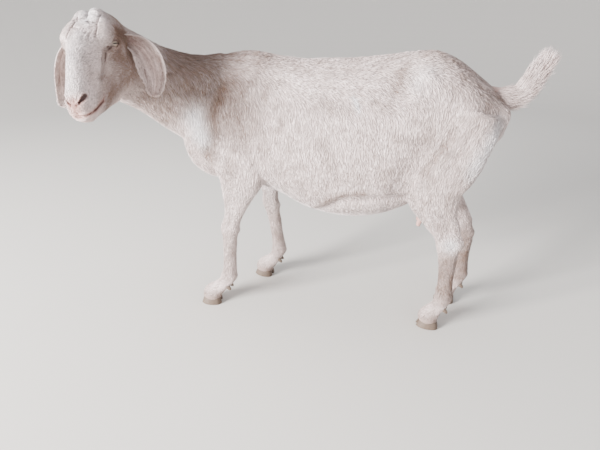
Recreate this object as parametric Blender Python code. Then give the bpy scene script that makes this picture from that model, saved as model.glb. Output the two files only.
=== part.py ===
"""A Nubian doe, life size, standing square with her head turned to her left.

Metres, +Z up. She faces -X, so her left side is towards -Y. The flesh is modelled as
one body, smoothed and carved, then parted by thin cuts into the nodes. Eyes, ears,
udder, tail, claws and dewclaws are pieces of their own, set against it.
"""

import math
import random

import bmesh
import bpy
import numpy as np
from mathutils import Matrix, Vector
from mathutils.bvhtree import BVHTree

GAP = 0.0003

# Trunk sections: x, top, bottom, half width, height of the widest place, fullness above, fullness below
TRUNK = [
    (-0.486, 0.566, 0.470, 0.036, 0.520, 2.0, 2.0),
    (-0.468, 0.632, 0.430, 0.070, 0.530, 2.0, 2.0),
    (-0.424, 0.705, 0.402, 0.098, 0.545, 1.9, 2.1),
    (-0.362, 0.742, 0.394, 0.118, 0.560, 1.8, 2.2),
    (-0.285, 0.756, 0.392, 0.132, 0.560, 1.7, 2.2),
    (-0.200, 0.745, 0.374, 0.150, 0.545, 1.8, 2.2),
    (-0.110, 0.736, 0.336, 0.168, 0.530, 1.9, 2.3),
    (-0.010, 0.738, 0.320, 0.176, 0.520, 1.9, 2.3),
    (0.080, 0.748, 0.331, 0.172, 0.530, 1.9, 2.3),
    (0.150, 0.758, 0.356, 0.156, 0.560, 2.0, 2.1),
    (0.200, 0.759, 0.392, 0.140, 0.600, 2.2, 2.0),
    (0.255, 0.742, 0.440, 0.122, 0.620, 2.2, 2.0),
    (0.310, 0.706, 0.485, 0.102, 0.610, 2.1, 2.0),
    (0.350, 0.675, 0.525, 0.078, 0.605, 2.0, 2.0),
    (0.378, 0.648, 0.560, 0.048, 0.602, 2.0, 2.0),
]

# Neck stations: x, y, z of the middle, half depth, half width
NECK = [
    (-0.290, 0.000, 0.610, 0.115, 0.080),
    (-0.385, -0.010, 0.614, 0.136, 0.086),
    (-0.462, -0.038, 0.640, 0.113, 0.072),
    (-0.530, -0.085, 0.684, 0.091, 0.061),
    (-0.575, -0.132, 0.722, 0.088, 0.056),
    (-0.594, -0.176, 0.752, 0.088, 0.052),
]

# The head's own frame: u from the poll towards the muzzle, v up out of the forehead, w to her right
HEAD_PLACE = (-0.586, -0.219, 0.845)
HEAD_FACING = 103.0  # degrees turned to her left, from straight ahead
HEAD_DOWN = 32.0  # degrees that the line of the face falls below level
HEAD_ROLL = 4.6  # degrees
# Head sections: u, top, bottom, half width, height of the widest, fullness above, fullness below
SKULL = [
    (-0.042, -0.030, -0.095, 0.026, -0.062, 2.0, 2.0),
    (-0.026, -0.006, -0.130, 0.046, -0.060, 2.0, 2.0),
    (-0.002, 0.006, -0.158, 0.055, -0.054, 2.2, 2.0),
    (0.032, 0.014, -0.182, 0.061, -0.044, 2.5, 1.8),
    (0.062, 0.018, -0.184, 0.062, -0.036, 2.6, 1.7),
    (0.092, 0.020, -0.176, 0.054, -0.038, 2.5, 1.6),
    (0.128, 0.019, -0.156, 0.0385, -0.048, 2.3, 1.7),
    (0.166, 0.012, -0.135, 0.0305, -0.052, 2.3, 1.9),
    (0.198, 0.000, -0.117, 0.0270, -0.052, 2.3, 2.1),
    (0.224, -0.014, -0.103, 0.0265, -0.054, 2.3, 2.2),
    (0.242, -0.028, -0.089, 0.0230, -0.058, 2.2, 2.2),
    (0.253, -0.043, -0.078, 0.0135, -0.060, 2.0, 2.0),
]
EYE = (0.0705, -0.0225, 0.0478)
EYE_RADIUS = 0.0135
EAR_ROOT = (0.012, -0.058, 0.052)

SIDES = {"left": -1, "right": 1}
# Where each foot's sole stands, as x, distance from the middle, and degrees that the toes turn out
FEET = {
    "front_left": (-0.412, 0.106, 14.0),
    "front_right": (-0.294, 0.090, 4.0),
    "hind_left": (0.262, 0.082, 3.0),
    "hind_right": (0.318, 0.064, 6.0),
}
# Leg stations: x, distance from the middle, height, half depth, half width, and how far the station
# goes with the foot when it is put forward or back
FORELEG = [
    (-0.300, 0.078, 0.570, 0.078, 0.042, 0.00),
    (-0.300, 0.092, 0.500, 0.084, 0.046, 0.02),
    (-0.295, 0.100, 0.440, 0.070, 0.039, 0.08),
    (-0.307, 0.104, 0.380, 0.046, 0.031, 0.22),
    (-0.321, 0.106, 0.322, 0.0275, 0.0240, 0.42),
    (-0.331, 0.106, 0.290, 0.0250, 0.0250, 0.52),
    (-0.336, 0.106, 0.264, 0.0240, 0.0240, 0.60),
    (-0.340, 0.106, 0.234, 0.0190, 0.0185, 0.68),
    (-0.344, 0.106, 0.182, 0.0165, 0.0160, 0.78),
    (-0.347, 0.106, 0.136, 0.0175, 0.0170, 0.86),
    (-0.352, 0.106, 0.105, 0.0225, 0.0215, 0.92),
    (-0.367, 0.106, 0.080, 0.0200, 0.0200, 0.96),
    (-0.388, 0.106, 0.058, 0.0225, 0.0225, 1.00),
    (-0.410, 0.106, 0.036, 0.0290, 0.0265, 1.00),
    (-0.414, 0.106, 0.018, 0.0280, 0.0260, 1.00),
]
HINDLEG = [
    (0.252, 0.072, 0.640, 0.100, 0.048, 0.00),
    (0.242, 0.086, 0.560, 0.106, 0.052, 0.04),
    (0.226, 0.096, 0.480, 0.094, 0.048, 0.12),
    (0.228, 0.096, 0.420, 0.070, 0.039, 0.30),
    (0.250, 0.091, 0.360, 0.047, 0.029, 0.40),
    (0.274, 0.085, 0.310, 0.033, 0.0235, 0.62),
    (0.284, 0.083, 0.272, 0.0315, 0.0225, 0.80),
    (0.287, 0.082, 0.238, 0.0240, 0.0205, 1.00),
    (0.289, 0.082, 0.190, 0.0185, 0.0165, 1.00),
    (0.291, 0.082, 0.140, 0.0180, 0.0165, 1.00),
    (0.292, 0.082, 0.106, 0.0225, 0.0210, 1.00),
    (0.286, 0.082, 0.080, 0.0200, 0.0200, 1.00),
    (0.272, 0.082, 0.058, 0.0225, 0.0225, 1.00),
    (0.260, 0.082, 0.036, 0.0290, 0.0265, 1.00),
    (0.258, 0.082, 0.018, 0.0280, 0.0260, 1.00),
]

MAGNIFY = 2.2  # the head is worked this much larger than the rest, so that its forms stay crisp
MAGNIFY_REACH = 0.20
MAGNIFY_CENTRE = Vector((-0.575, -0.285, 0.745))


def clear_scene():
    for obj in list(bpy.data.objects):
        bpy.data.objects.remove(obj, do_unlink=True)


def through(rows, count):
    """Smooth values along the rows: count of them, on a Catmull-Rom curve."""
    rows = np.array(rows, float)
    place = np.linspace(0, len(rows) - 1, count)
    start = np.clip(np.floor(place).astype(int), 0, len(rows) - 2)
    f = (place - start)[:, None]
    a, b = rows[np.clip(start - 1, 0, None)], rows[start]
    c, d = rows[start + 1], rows[np.clip(start + 2, None, len(rows) - 1)]
    square, cube = 2 * a - 5 * b + 4 * c - d, 3 * b - a - 3 * c + d
    return 0.5 * (2 * b + (c - a) * f + square * f**2 + cube * f**3)


def new_object(name, points, faces):
    mesh = bpy.data.meshes.new(name)
    mesh.from_pydata([tuple(p) for p in points], [], faces)
    obj = bpy.data.objects.new(name, mesh)
    bpy.context.scene.collection.objects.link(obj)
    work = bmesh.new()
    work.from_mesh(mesh)
    bmesh.ops.recalc_face_normals(work, faces=work.faces)
    work.to_mesh(mesh)
    work.free()
    return obj


def coordinates(obj):
    flat = np.empty(len(obj.data.vertices) * 3, np.float32)
    obj.data.vertices.foreach_get("co", flat)
    return flat.reshape(-1, 3).astype(float)


def move_points(obj, points):
    obj.data.vertices.foreach_set("co", np.ascontiguousarray(points, np.float32).ravel())
    obj.data.update()


def oval(count, wide, up, down, full_up=2.0, full_down=2.0):
    """Across and up places of a superellipse, with its own height and fullness above and below."""
    angle = np.arange(count) * math.tau / count
    c, s = np.cos(angle), np.sin(angle)
    n = np.where(c > 0, full_up, full_down)
    height = np.where(c > 0, up, down)
    return wide * np.sign(s) * np.abs(s) ** (2 / n), height * np.sign(c) * np.abs(c) ** (2 / n)


def skin_rings(name, rings):
    """A closed solid through rings of points, each end drawn to its middle."""
    rings = np.array(rings)
    count, around = rings.shape[:2]
    points = np.concatenate([rings.reshape(-1, 3), rings[:1].mean(1), rings[-1:].mean(1)])
    faces = []
    for i in range(count - 1):
        for j in range(around):
            k = (j + 1) % around
            faces.append((i * around + j, i * around + k, (i + 1) * around + k, (i + 1) * around + j))
    first, last = count * around, count * around + 1
    for j in range(around):
        k = (j + 1) % around
        faces.append((first, k, j))
        faces.append((last, (count - 1) * around + j, (count - 1) * around + k))
    return new_object(name, points, faces)


def trunk():
    rings = []
    for x, top, bottom, wide, middle, full_up, full_down in through(TRUNK, 60):
        across, up = oval(48, wide, top - middle, middle - bottom, full_up, full_down)
        rings.append(np.stack([np.full(48, x), across, middle + up], 1))
    return skin_rings("trunk", rings)


def limb(name, middles, deep, wide, side, around=24, full=2.15):
    """A tube along middles, with half depth across the limb's own plane and half width along side."""
    middles = np.array(middles)
    along = np.gradient(middles, axis=0)
    along /= np.linalg.norm(along, axis=1)[:, None]
    rings = []
    for middle, way, d, w in zip(middles, along, deep, wide):
        across = np.array(side, float)
        across -= way * (across @ way)
        across /= np.linalg.norm(across)
        front = np.cross(across, way)
        a, b = oval(around, w, d, d, full, full)
        rings.append(middle + a[:, None] * across + b[:, None] * front)
    return skin_rings(name, rings)


def neck():
    path = through(NECK, 30)
    along = np.gradient(path[:, :3], axis=0)
    along /= np.linalg.norm(along, axis=1)[:, None]
    rings = []
    for row, way in zip(path, along):
        across = np.cross(way, (0, 0, 1))
        across /= np.linalg.norm(across)
        up = np.cross(across, way)
        a, b = oval(32, row[4], row[3], row[3], 1.8, 2.1)
        rings.append(row[:3] + a[:, None] * across + b[:, None] * up)
    return skin_rings("neck", rings)


def head_matrix():
    """The head's frame in the world: columns are u, v and w."""
    facing = math.radians(180 + HEAD_FACING)
    down = math.radians(HEAD_DOWN)
    level = Vector((math.cos(facing), math.sin(facing), 0))
    u = level * math.cos(down) + Vector((0, 0, -math.sin(down)))
    w = level.cross(Vector((0, 0, 1)))
    roll = Matrix.Rotation(math.radians(HEAD_ROLL), 3, u)
    w = roll @ w
    v = w.cross(u)
    frame = Matrix((u, v, w)).transposed().to_4x4()
    frame.translation = Vector(HEAD_PLACE)
    return frame


HEAD = head_matrix()


def from_head(points):
    """World places of points given in the head's frame."""
    m = np.array(HEAD)
    return np.asarray(points, float) @ m[:3, :3].T + m[:3, 3]


def to_head(points):
    m = np.array(HEAD)
    return (np.asarray(points, float) - m[:3, 3]) @ m[:3, :3]


def skull():
    rings = []
    for u, top, bottom, wide, middle, full_up, full_down in through(SKULL, 60):
        across, up = oval(48, wide, top - middle, middle - bottom, full_up, full_down)
        rings.append(from_head(np.stack([np.full(48, u), middle + up, across], 1)))
    return skin_rings("skull", rings)


def leg_line(name):
    """The places, half depths and half widths down a leg."""
    rows = through(FORELEG if "front" in name else HINDLEG, 56)
    x, out, _ = FEET[name]
    base_x, base_out, _ = FEET[name.split("_")[0] + "_left"]
    follow = rows[:, 5]
    side = SIDES[name.split("_")[1]]
    y = side * (rows[:, 1] + follow * (out - base_out))
    return np.stack([rows[:, 0] + follow * (x - base_x), y, rows[:, 2]], 1), rows[:, 3], rows[:, 4]


def leg(name):
    middles, deep, wide = leg_line(name)
    return limb("leg_" + name, middles, deep, wide, (0, 1, 0))


def magnified(points):
    offset = points - np.array(MAGNIFY_CENTRE)
    far = np.linalg.norm(offset, axis=1)
    beyond = 1 + (MAGNIFY - 1) * MAGNIFY_REACH / np.maximum(far, 1e-9)
    scale = np.where(far < MAGNIFY_REACH, MAGNIFY, beyond)
    return np.array(MAGNIFY_CENTRE) + offset * scale[:, None]


def life_size(points):
    offset = points - np.array(MAGNIFY_CENTRE)
    far = np.linalg.norm(offset, axis=1)
    edge = MAGNIFY * MAGNIFY_REACH
    beyond = (far - (MAGNIFY - 1) * MAGNIFY_REACH) / np.maximum(far, 1e-9)
    scale = np.where(far < edge, 1 / MAGNIFY, beyond)
    return np.array(MAGNIFY_CENTRE) + offset * scale[:, None]


def applied(obj):
    """The object's mesh with its modifiers made real."""
    bpy.context.view_layer.update()
    evaluated = obj.evaluated_get(bpy.context.evaluated_depsgraph_get())
    mesh = bpy.data.meshes.new_from_object(evaluated)
    obj.modifiers.clear()
    old = obj.data
    obj.data = mesh
    bpy.data.meshes.remove(old)
    return obj


def joined(name, pieces):
    work = bmesh.new()
    for piece in pieces:
        work.from_mesh(piece.data)
        bpy.data.objects.remove(piece, do_unlink=True)
    mesh = bpy.data.meshes.new(name)
    work.to_mesh(mesh)
    work.free()
    obj = bpy.data.objects.new(name, mesh)
    bpy.context.scene.collection.objects.link(obj)
    return obj


def fused(pieces, voxel):
    """One closed skin over all the pieces, with points about voxel apart."""
    body = joined("body", pieces)
    move_points(body, magnified(coordinates(body)))
    remesh = body.modifiers.new("fuse", "REMESH")
    remesh.mode = "VOXEL"
    remesh.voxel_size = voxel
    applied(body)
    move_points(body, life_size(coordinates(body)))
    return body


def edge_pairs(obj):
    flat = np.empty(len(obj.data.edges) * 2, np.int32)
    obj.data.edges.foreach_get("vertices", flat)
    return flat.reshape(-1, 2)


def smoothed(obj, rounds, share):
    """Evens the surface out without shrinking it: each round pulls in, then pushes back."""
    points = coordinates(obj)
    a, b = edge_pairs(obj).T
    near = np.maximum(np.bincount(np.concatenate([a, b]), minlength=len(points)), 1)
    share = share(points)[:, None]
    for _ in range(rounds):
        for pull in (0.5, -0.52):
            total = np.stack(
                [
                    np.bincount(a, points[b, k], len(points)) + np.bincount(b, points[a, k], len(points))
                    for k in range(3)
                ],
                1,
            )
            points += pull * share * (total / near[:, None] - points)
    move_points(obj, points)


def normals(obj):
    flat = np.empty(len(obj.data.vertices) * 3, np.float32)
    obj.data.vertices.foreach_get("normal", flat)
    return flat.reshape(-1, 3).astype(float)


def distance_to_line(points, line):
    """How far each point is from a bent line through the given places."""
    line = np.array(line, float).reshape(-1, 3)
    if len(line) == 1:
        return np.linalg.norm(points - line[0], axis=1)
    nearest = np.full(len(points), 1e9)
    for start, end in zip(line[:-1], line[1:]):
        along = end - start
        t = np.clip((points - start) @ along / (along @ along), 0, 1)
        nearest = np.minimum(nearest, np.linalg.norm(points - start - t[:, None] * along, axis=1))
    return nearest


def raised(points, forms):
    """Height to add at each point: each form is a line, how far it spreads, and how high it stands."""
    height = np.zeros(len(points))
    for line, spread, rise in forms:
        height += rise * np.exp(-((distance_to_line(points, line) / spread) ** 2))
    return height


def body_forms():
    """Muscle and bone that show through the coat, on both sides."""
    forms = []
    for name, side in SIDES.items():
        fore, _, _ = leg_line("front_" + name)
        hind, _, _ = leg_line("hind_" + name)

        def fore_at(z, back=0.0, out=0.0):
            place = fore[np.abs(fore[:, 2] - z).argmin()]
            return (place[0] + back, place[1] + out * side, z)

        def hind_at(z, back=0.0, out=0.0):
            place = hind[np.abs(hind[:, 2] - z).argmin()]
            return (place[0] + back, place[1] + out * side, z)

        forms += [
            # spine of the shoulder blade, point of the shoulder, elbow, hollow behind the shoulder
            ([(-0.245, 0.055 * side, 0.725), (-0.335, 0.118 * side, 0.600)], 0.030, 0.007),
            ([(-0.425, 0.085 * side, 0.545)], 0.040, 0.012),
            ([(-0.250, 0.130 * side, 0.460)], 0.036, 0.009),
            ([(-0.190, 0.130 * side, 0.600)], 0.050, -0.007),
            # dip between the shoulder and the neck, hollow of the flank, hook bone, pin bone, hip joint
            ([(-0.375, 0.085 * side, 0.700), (-0.415, 0.090 * side, 0.610)], 0.025, -0.008),
            ([(0.120, 0.100 * side, 0.690)], 0.045, -0.016),
            ([(0.178, 0.098 * side, 0.712)], 0.022, 0.014),
            ([(0.372, 0.048 * side, 0.625)], 0.024, 0.010),
            ([(0.285, 0.110 * side, 0.640)], 0.030, 0.006),
            # crease in front of the thigh
            ([(0.175, 0.135 * side, 0.570), (0.135, 0.145 * side, 0.450)], 0.028, -0.007),
            # heel tendon, point of the hock, hollow above it, front and back of the knee
            ([hind_at(0.290, 0.030), hind_at(0.345, 0.036)], 0.013, 0.006),
            ([hind_at(0.278, 0.028)], 0.013, 0.010),
            ([hind_at(0.322, 0.008, 0.02), hind_at(0.375, 0.014, 0.02)], 0.014, -0.006),
            ([fore_at(0.275, -0.024)], 0.016, 0.005),
            ([fore_at(0.268, 0.024)], 0.010, 0.005),
        ]
    return forms


def head_forms():
    """Forms of the head, in its own frame."""
    forms = [
        ([(0.100, 0.020, 0), (0.175, 0.012, 0)], 0.020, 0.004),  # Roman nose
        ([(0.240, -0.030, 0), (0.254, -0.054, 0)], 0.0060, -0.0020),  # groove between the nostrils
        ([(0.232, -0.092, 0)], 0.016, 0.003),  # chin
        ([(-0.012, 0.006, 0.0065), (0.022, 0.018, 0.0075)], 0.006, -0.007),  # between the horn buds
    ]
    for side in (-1, 1):
        tear_line = [(0.105, -0.016, 0.045), (0.122, -0.029, 0.040), (0.150, -0.052, 0.033)]
        tear_line = [(u, v, w * side) for u, v, w in tear_line]
        forms += [
            ([(0.002, 0.010, 0.0055 + 0.0160 * side)], 0.0130, 0.013),  # healed horn bud
            ([(0.040, 0.012, 0.044 * side), (0.078, 0.004, 0.050 * side)], 0.014, 0.007),  # brow
            ([(EYE[0] + 0.006, EYE[1] - 0.022, 0.058 * side)], 0.010, -0.003),  # under the eye
            ([(EYE[0] + 0.006, EYE[1] + 0.001, 0.0600 * side)], 0.0145, 0.0055),  # lids
            (tear_line, 0.008, -0.004),
            ([(0.084, -0.046, 0.060 * side), (0.130, -0.064, 0.048 * side)], 0.012, 0.004),  # cheekbone
            ([(0.050, -0.102, 0.052 * side)], 0.034, 0.006),  # cheek muscle
            ([(0.016, -0.052, 0.058 * side)], 0.016, 0.005),  # ear base
            ([(0.180, -0.030, 0.034 * side)], 0.022, -0.003),  # beside the nose
            ([(0.234, -0.024, 0.022 * side)], 0.009, 0.003),  # wing of the nostril
            ([(0.218, -0.060, 0.026 * side), (0.248, -0.052, 0.012 * side)], 0.010, 0.002),  # upper lip
        ]
    return forms


def carved(body):
    """Moves the skin out and in by the forms of the body and the head."""
    points = coordinates(body)
    height = raised(points, body_forms()) + raised(to_head(points), head_forms())
    move_points(body, points + normals(body) * height[:, None])


def thinned(obj, triangles):
    """Fewer triangles where the surface is plain, counted with the head enlarged so that it keeps more."""
    move_points(obj, magnified(coordinates(obj)))
    triangulate = obj.modifiers.new("triangles", "TRIANGULATE")
    triangulate.quad_method = "BEAUTY"
    applied(obj)
    decimate = obj.modifiers.new("thin", "DECIMATE")
    decimate.ratio = triangles / len(obj.data.polygons)
    applied(obj)
    move_points(obj, life_size(coordinates(obj)))


def flesh():
    """The whole animal's skin as one closed mesh."""
    pieces = [trunk(), neck(), skull()]
    for side in SIDES:
        pieces += [leg("front_" + side), leg("hind_" + side)]
    body = fused(pieces, 0.0082)
    smoothed(body, 14, lambda p: np.where(p[:, 2] > 0.34, 1.0, 0.25))
    carved(body)
    thinned(body, 6500)
    return body


def slab(name, planes, size=2.0):
    """The solid behind every plane, each given as a place on it and the way it faces."""
    work = bmesh.new()
    bmesh.ops.create_cube(work, size=size)
    for place, way in planes:
        whole = work.verts[:] + work.edges[:] + work.faces[:]
        found = bmesh.ops.bisect_plane(work, geom=whole, plane_co=place, plane_no=way, clear_outer=True)
        edges = [e for e in found["geom_cut"] if isinstance(e, bmesh.types.BMEdge)]
        bmesh.ops.contextual_create(work, geom=edges)
    bmesh.ops.triangulate(work, faces=work.faces)
    bmesh.ops.recalc_face_normals(work, faces=work.faces)
    mesh = bpy.data.meshes.new(name)
    work.to_mesh(mesh)
    work.free()
    obj = bpy.data.objects.new(name, mesh)
    bpy.context.scene.collection.objects.link(obj)
    return obj


def moved_planes(planes, distance):
    """The same planes, each moved the way it faces."""
    ways = [Vector(way).normalized() for _, way in planes]
    return [(Vector(place) + way * distance, way) for (place, _), way in zip(planes, ways)]


def cut(obj, other, operation):
    """Boolean of the object with another, made real."""
    step = obj.modifiers.new("cut", "BOOLEAN")
    step.operation = operation
    step.solver = "EXACT"
    step.object = other
    applied(obj)
    bpy.data.objects.remove(other, do_unlink=True)
    return obj


def copy_of(obj, name):
    other = obj.copy()
    other.data = obj.data.copy()
    other.name = name
    bpy.context.scene.collection.objects.link(other)
    return other


def part_off(body, name, planes):
    """Takes the part of the body behind the planes as a piece of its own, a thin cut away from the rest."""
    piece = cut(copy_of(body, name), slab("inside", moved_planes(planes, -GAP / 2)), "INTERSECT")
    cut(body, slab("outside", moved_planes(planes, GAP / 2)), "DIFFERENCE")
    return piece


def swollen(obj, name, distance):
    """A copy of the object with its surface moved out."""
    other = copy_of(obj, name)
    move_points(other, coordinates(other) + normals(other) * distance)
    return other


def largest_part(obj):
    """Keeps only the biggest closed surface, with no needless points."""
    work = bmesh.new()
    work.from_mesh(obj.data)
    bmesh.ops.remove_doubles(work, verts=work.verts, dist=2e-5)
    bmesh.ops.dissolve_degenerate(work, edges=work.edges, dist=2e-5)
    seen = set()
    groups = []
    for vert in work.verts:
        if vert in seen:
            continue
        group = [vert]
        seen.add(vert)
        for one in group:
            for edge in one.link_edges:
                other = edge.other_vert(one)
                if other not in seen:
                    seen.add(other)
                    group.append(other)
        groups.append(group)
    keep = set(max(groups, key=len))
    bmesh.ops.delete(work, geom=[v for v in work.verts if v not in keep], context="VERTS")
    bmesh.ops.triangulate(work, faces=work.faces)
    bmesh.ops.recalc_face_normals(work, faces=work.faces)
    work.to_mesh(obj.data)
    work.free()
    return obj


def ball(name, centre, radius, across=16, down=10):
    rings = []
    for angle in np.linspace(0, math.pi, down + 2)[1:-1]:
        turn = np.arange(across) * math.tau / across
        ring = np.stack([np.cos(turn), np.sin(turn), np.zeros(across)], 1) * math.sin(angle)
        ring[:, 2] = math.cos(angle)
        rings.append(np.array(centre) + ring * np.array(radius))
    return skin_rings(name, rings)


def eye_centre(side):
    return from_head([(EYE[0], EYE[1], EYE[2] * side)])[0]


def gaze(side):
    """The way an eye looks, and the level direction across it, towards its outer corner."""
    way = Vector(from_head([(0.40, 0.08, 0.91 * side)])[0] - from_head([(0, 0, 0)])[0]).normalized()
    across = Vector((0, 0, 1)).cross(way).normalized() * side
    return np.array(way), np.array(across)


def lid_opening(side):
    """An almond prism that opens the lids: long from the inner corner to the outer, pointed at both."""
    way, across = gaze(side)
    upright = np.cross(way, across)
    upright *= np.sign(upright[2])
    turn = np.arange(20) * math.tau / 20
    along = 0.0130 * np.cos(turn)
    up = 0.0064 * np.sin(turn) * (1 - 0.25 * np.cos(turn) ** 2) + 0.08 * along
    flat = along[:, None] * across + up[:, None] * upright
    return skin_rings("opening", [eye_centre(side) + flat + way * out for out in (0.004, 0.030)])


def nostril(side):
    """A slanted slit that goes back into the muzzle."""
    line = [(0.253, -0.022, 0.023, 1.0), (0.240, -0.032, 0.0155, 1.0), (0.226, -0.042, 0.0085, 0.35)]
    rows = through(line, 5)
    middles = from_head(rows[:, :3] * (1, 1, side))
    slit = from_head([(-0.0135, 0.0055, 0.015 * side)])[0] - from_head([(0, 0, 0)])[0]
    return limb("nostril", middles, 0.0026 * rows[:, 3], 0.0100 * rows[:, 3], slit, 12)


def mouth(head):
    """A thin furrow along the line of the lips, laid on the head's own surface."""
    line = np.array([
        (0.209, -0.110, -0.060),
        (0.246, -0.093, -0.050),
        (0.266, -0.064, -0.040),
        (0.270, -0.058, -0.022),
        (0.270, -0.060, 0.0),
    ])
    line = np.concatenate([line, line[-2::-1] * (1, 1, -1)])
    tree = BVHTree.FromObject(head, bpy.context.evaluated_depsgraph_get())
    rings = []
    inside = np.array((0.16, -0.070, 0.0))
    for aim in through(line, 41):
        start, end = from_head([aim, inside])
        hit = tree.ray_cast(Vector(start + (start - end) * 0.5), Vector(end - start).normalized())[0]
        if hit is not None:
            rings.append(hit)
    rings = np.array(rings)
    along = np.gradient(rings, axis=0)
    along /= np.linalg.norm(along, axis=1)[:, None]
    loops = []
    for i, (middle, way) in enumerate(zip(rings, along)):
        f = min(i, len(rings) - 1 - i) / 6
        r = 0.0019 * min(1.0, 0.35 + f)
        up = np.array(HEAD)[:3, 1]
        out = np.cross(way, up)
        out /= np.linalg.norm(out)
        turn = np.arange(8) * math.tau / 8
        loops.append(middle + r * np.cos(turn)[:, None] * up + r * 1.5 * np.sin(turn)[:, None] * out)
    return skin_rings("mouth", loops)


def claw(name, side):
    """One hoof half: flat sole, pointed toe, straight inner wall, and a top that slopes down to the heel."""
    x, out, toe_out = FEET[name]
    leg_side = SIDES[name.split("_")[1]]
    turn = -math.radians(toe_out) * leg_side
    # Outline in plan, toe forward: distance ahead of the middle and away from the cleft, at the sole
    outline = np.array([
        (0.036, 0.002), (0.034, 0.008), (0.026, 0.0155), (0.012, 0.0215),
        (-0.004, 0.0235), (-0.018, 0.0215), (-0.026, 0.0150), (-0.0275, 0.0075),
        (-0.025, 0.0022), (-0.010, 0.0012), (0.008, 0.0012), (0.024, 0.0012),
    ])
    rings = []
    for level, grow, lean in ((0.0, 0.93, 0.0), (0.004, 1.0, 0.0), (0.5, 0.95, 0.5), (1.0, 0.84, 1.0)):
        ahead = (outline[:, 0] + 0.004) * grow - 0.004 - 0.014 * lean * np.clip(outline[:, 0] / 0.036, 0, 1)
        away = 0.0032 + outline[:, 1] * (grow if level > 0.004 else 0.95)
        if level <= 0.004:
            height = np.full(12, level)
        else:
            height = coronet_height(ahead) * level - GAP * (level == 1.0)
        px = -ahead * math.cos(turn) - away * side * math.sin(turn)
        py = -ahead * math.sin(turn) + away * side * math.cos(turn)
        rings.append(np.stack([x + px, out * leg_side + py, height], 1))
    return skin_rings("claw_" + name + ("_outer" if side == leg_side else "_inner"), rings)


def coronet_height(ahead):
    """Height of the coronet: highest over the toe, lowest at the heel."""
    return 0.0285 + 0.36 * ahead


def above_coronet(name):
    """A solid that holds all below the coronet plane of a foot."""
    x, out, toe_out = FEET[name]
    leg_side = SIDES[name.split("_")[1]]
    turn = -math.radians(toe_out) * leg_side
    slope = math.atan(0.36)
    ahead = Vector((-math.cos(turn), -math.sin(turn), 0))
    facing = Vector((0, 0, 1)) * math.cos(slope) - ahead * math.sin(slope)
    return slab("below", [(Vector((x, out * leg_side, 0.0285)), facing)])


def dewclaw(name, side):
    """A small blunt horn behind the fetlock, pointing down and back."""
    middles, deep, _ = leg_line(name)
    spot = np.abs(middles[:, 2] - 0.074).argmin()
    leg_side = SIDES[name.split("_")[1]]
    base = middles[spot] + np.array([deep[spot] * 0.62, 0.0095 * side, -0.004])
    way = np.array([0.72, 0.16 * side, -0.68])
    way /= np.linalg.norm(way)
    rows = through([(0.0, 0.0062), (0.005, 0.0066), (0.011, 0.0060), (0.016, 0.0042), (0.0185, 0.0018)], 5)
    middles = base + rows[:, :1] * way
    kind = "_outer" if side == leg_side else "_inner"
    return limb("dewclaw_" + name + kind, middles, rows[:, 1], rows[:, 1] * 0.9, (0, 1, 0), 7)


def ear(name, side, line):
    """A hanging ear: a blade curled round its length, tight at the root and open below.

    Each row of line: place out from the head, ahead and up from the root, half width of the blade,
    half the angle it is curled through, and the angle its hollow faces away from ahead.
    """
    count, across = 18, 9
    rows = through(line, count)
    m = np.array(HEAD)
    out = m[:3, 2] * side
    out[2] = 0
    out /= np.linalg.norm(out)
    ahead = m[:3, 0].copy()
    ahead[2] = 0
    ahead /= np.linalg.norm(ahead)
    up = np.array((0, 0, 1.0))
    root = from_head([(EAR_ROOT[0], EAR_ROOT[1], EAR_ROOT[2] * side)])[0]
    middles = root + rows[:, :1] * out + rows[:, 1:2] * ahead + rows[:, 2:3] * up
    along = np.gradient(middles, axis=0)
    along /= np.linalg.norm(along, axis=1)[:, None]
    rings = []
    for i in range(count):
        half, curl, facing = rows[i, 3], rows[i, 4], math.radians(rows[i, 5])
        hollow = ahead * math.cos(facing) + out * math.sin(facing)
        hollow -= along[i] * (hollow @ along[i])
        hollow /= np.linalg.norm(hollow)
        cross = np.cross(along[i], hollow)
        radius = half / curl
        thick = 0.0036 * min(1.0, 0.45 + 2.2 * min(half, 0.03) / 0.03 * 0.5)
        turn = np.linspace(-curl, curl, across)
        edge = thick * (0.5 - 0.24 * np.abs(turn / curl) ** 3)
        ray = -hollow * np.cos(turn)[:, None] + cross * np.sin(turn)[:, None]
        centre = middles[i] + hollow * radius
        outer = centre + ray * (radius + edge)[:, None]
        inner = centre + ray * (radius - edge)[:, None]
        rings.append(np.concatenate([outer, inner[::-1]]))
    return skin_rings(name, rings)


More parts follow.
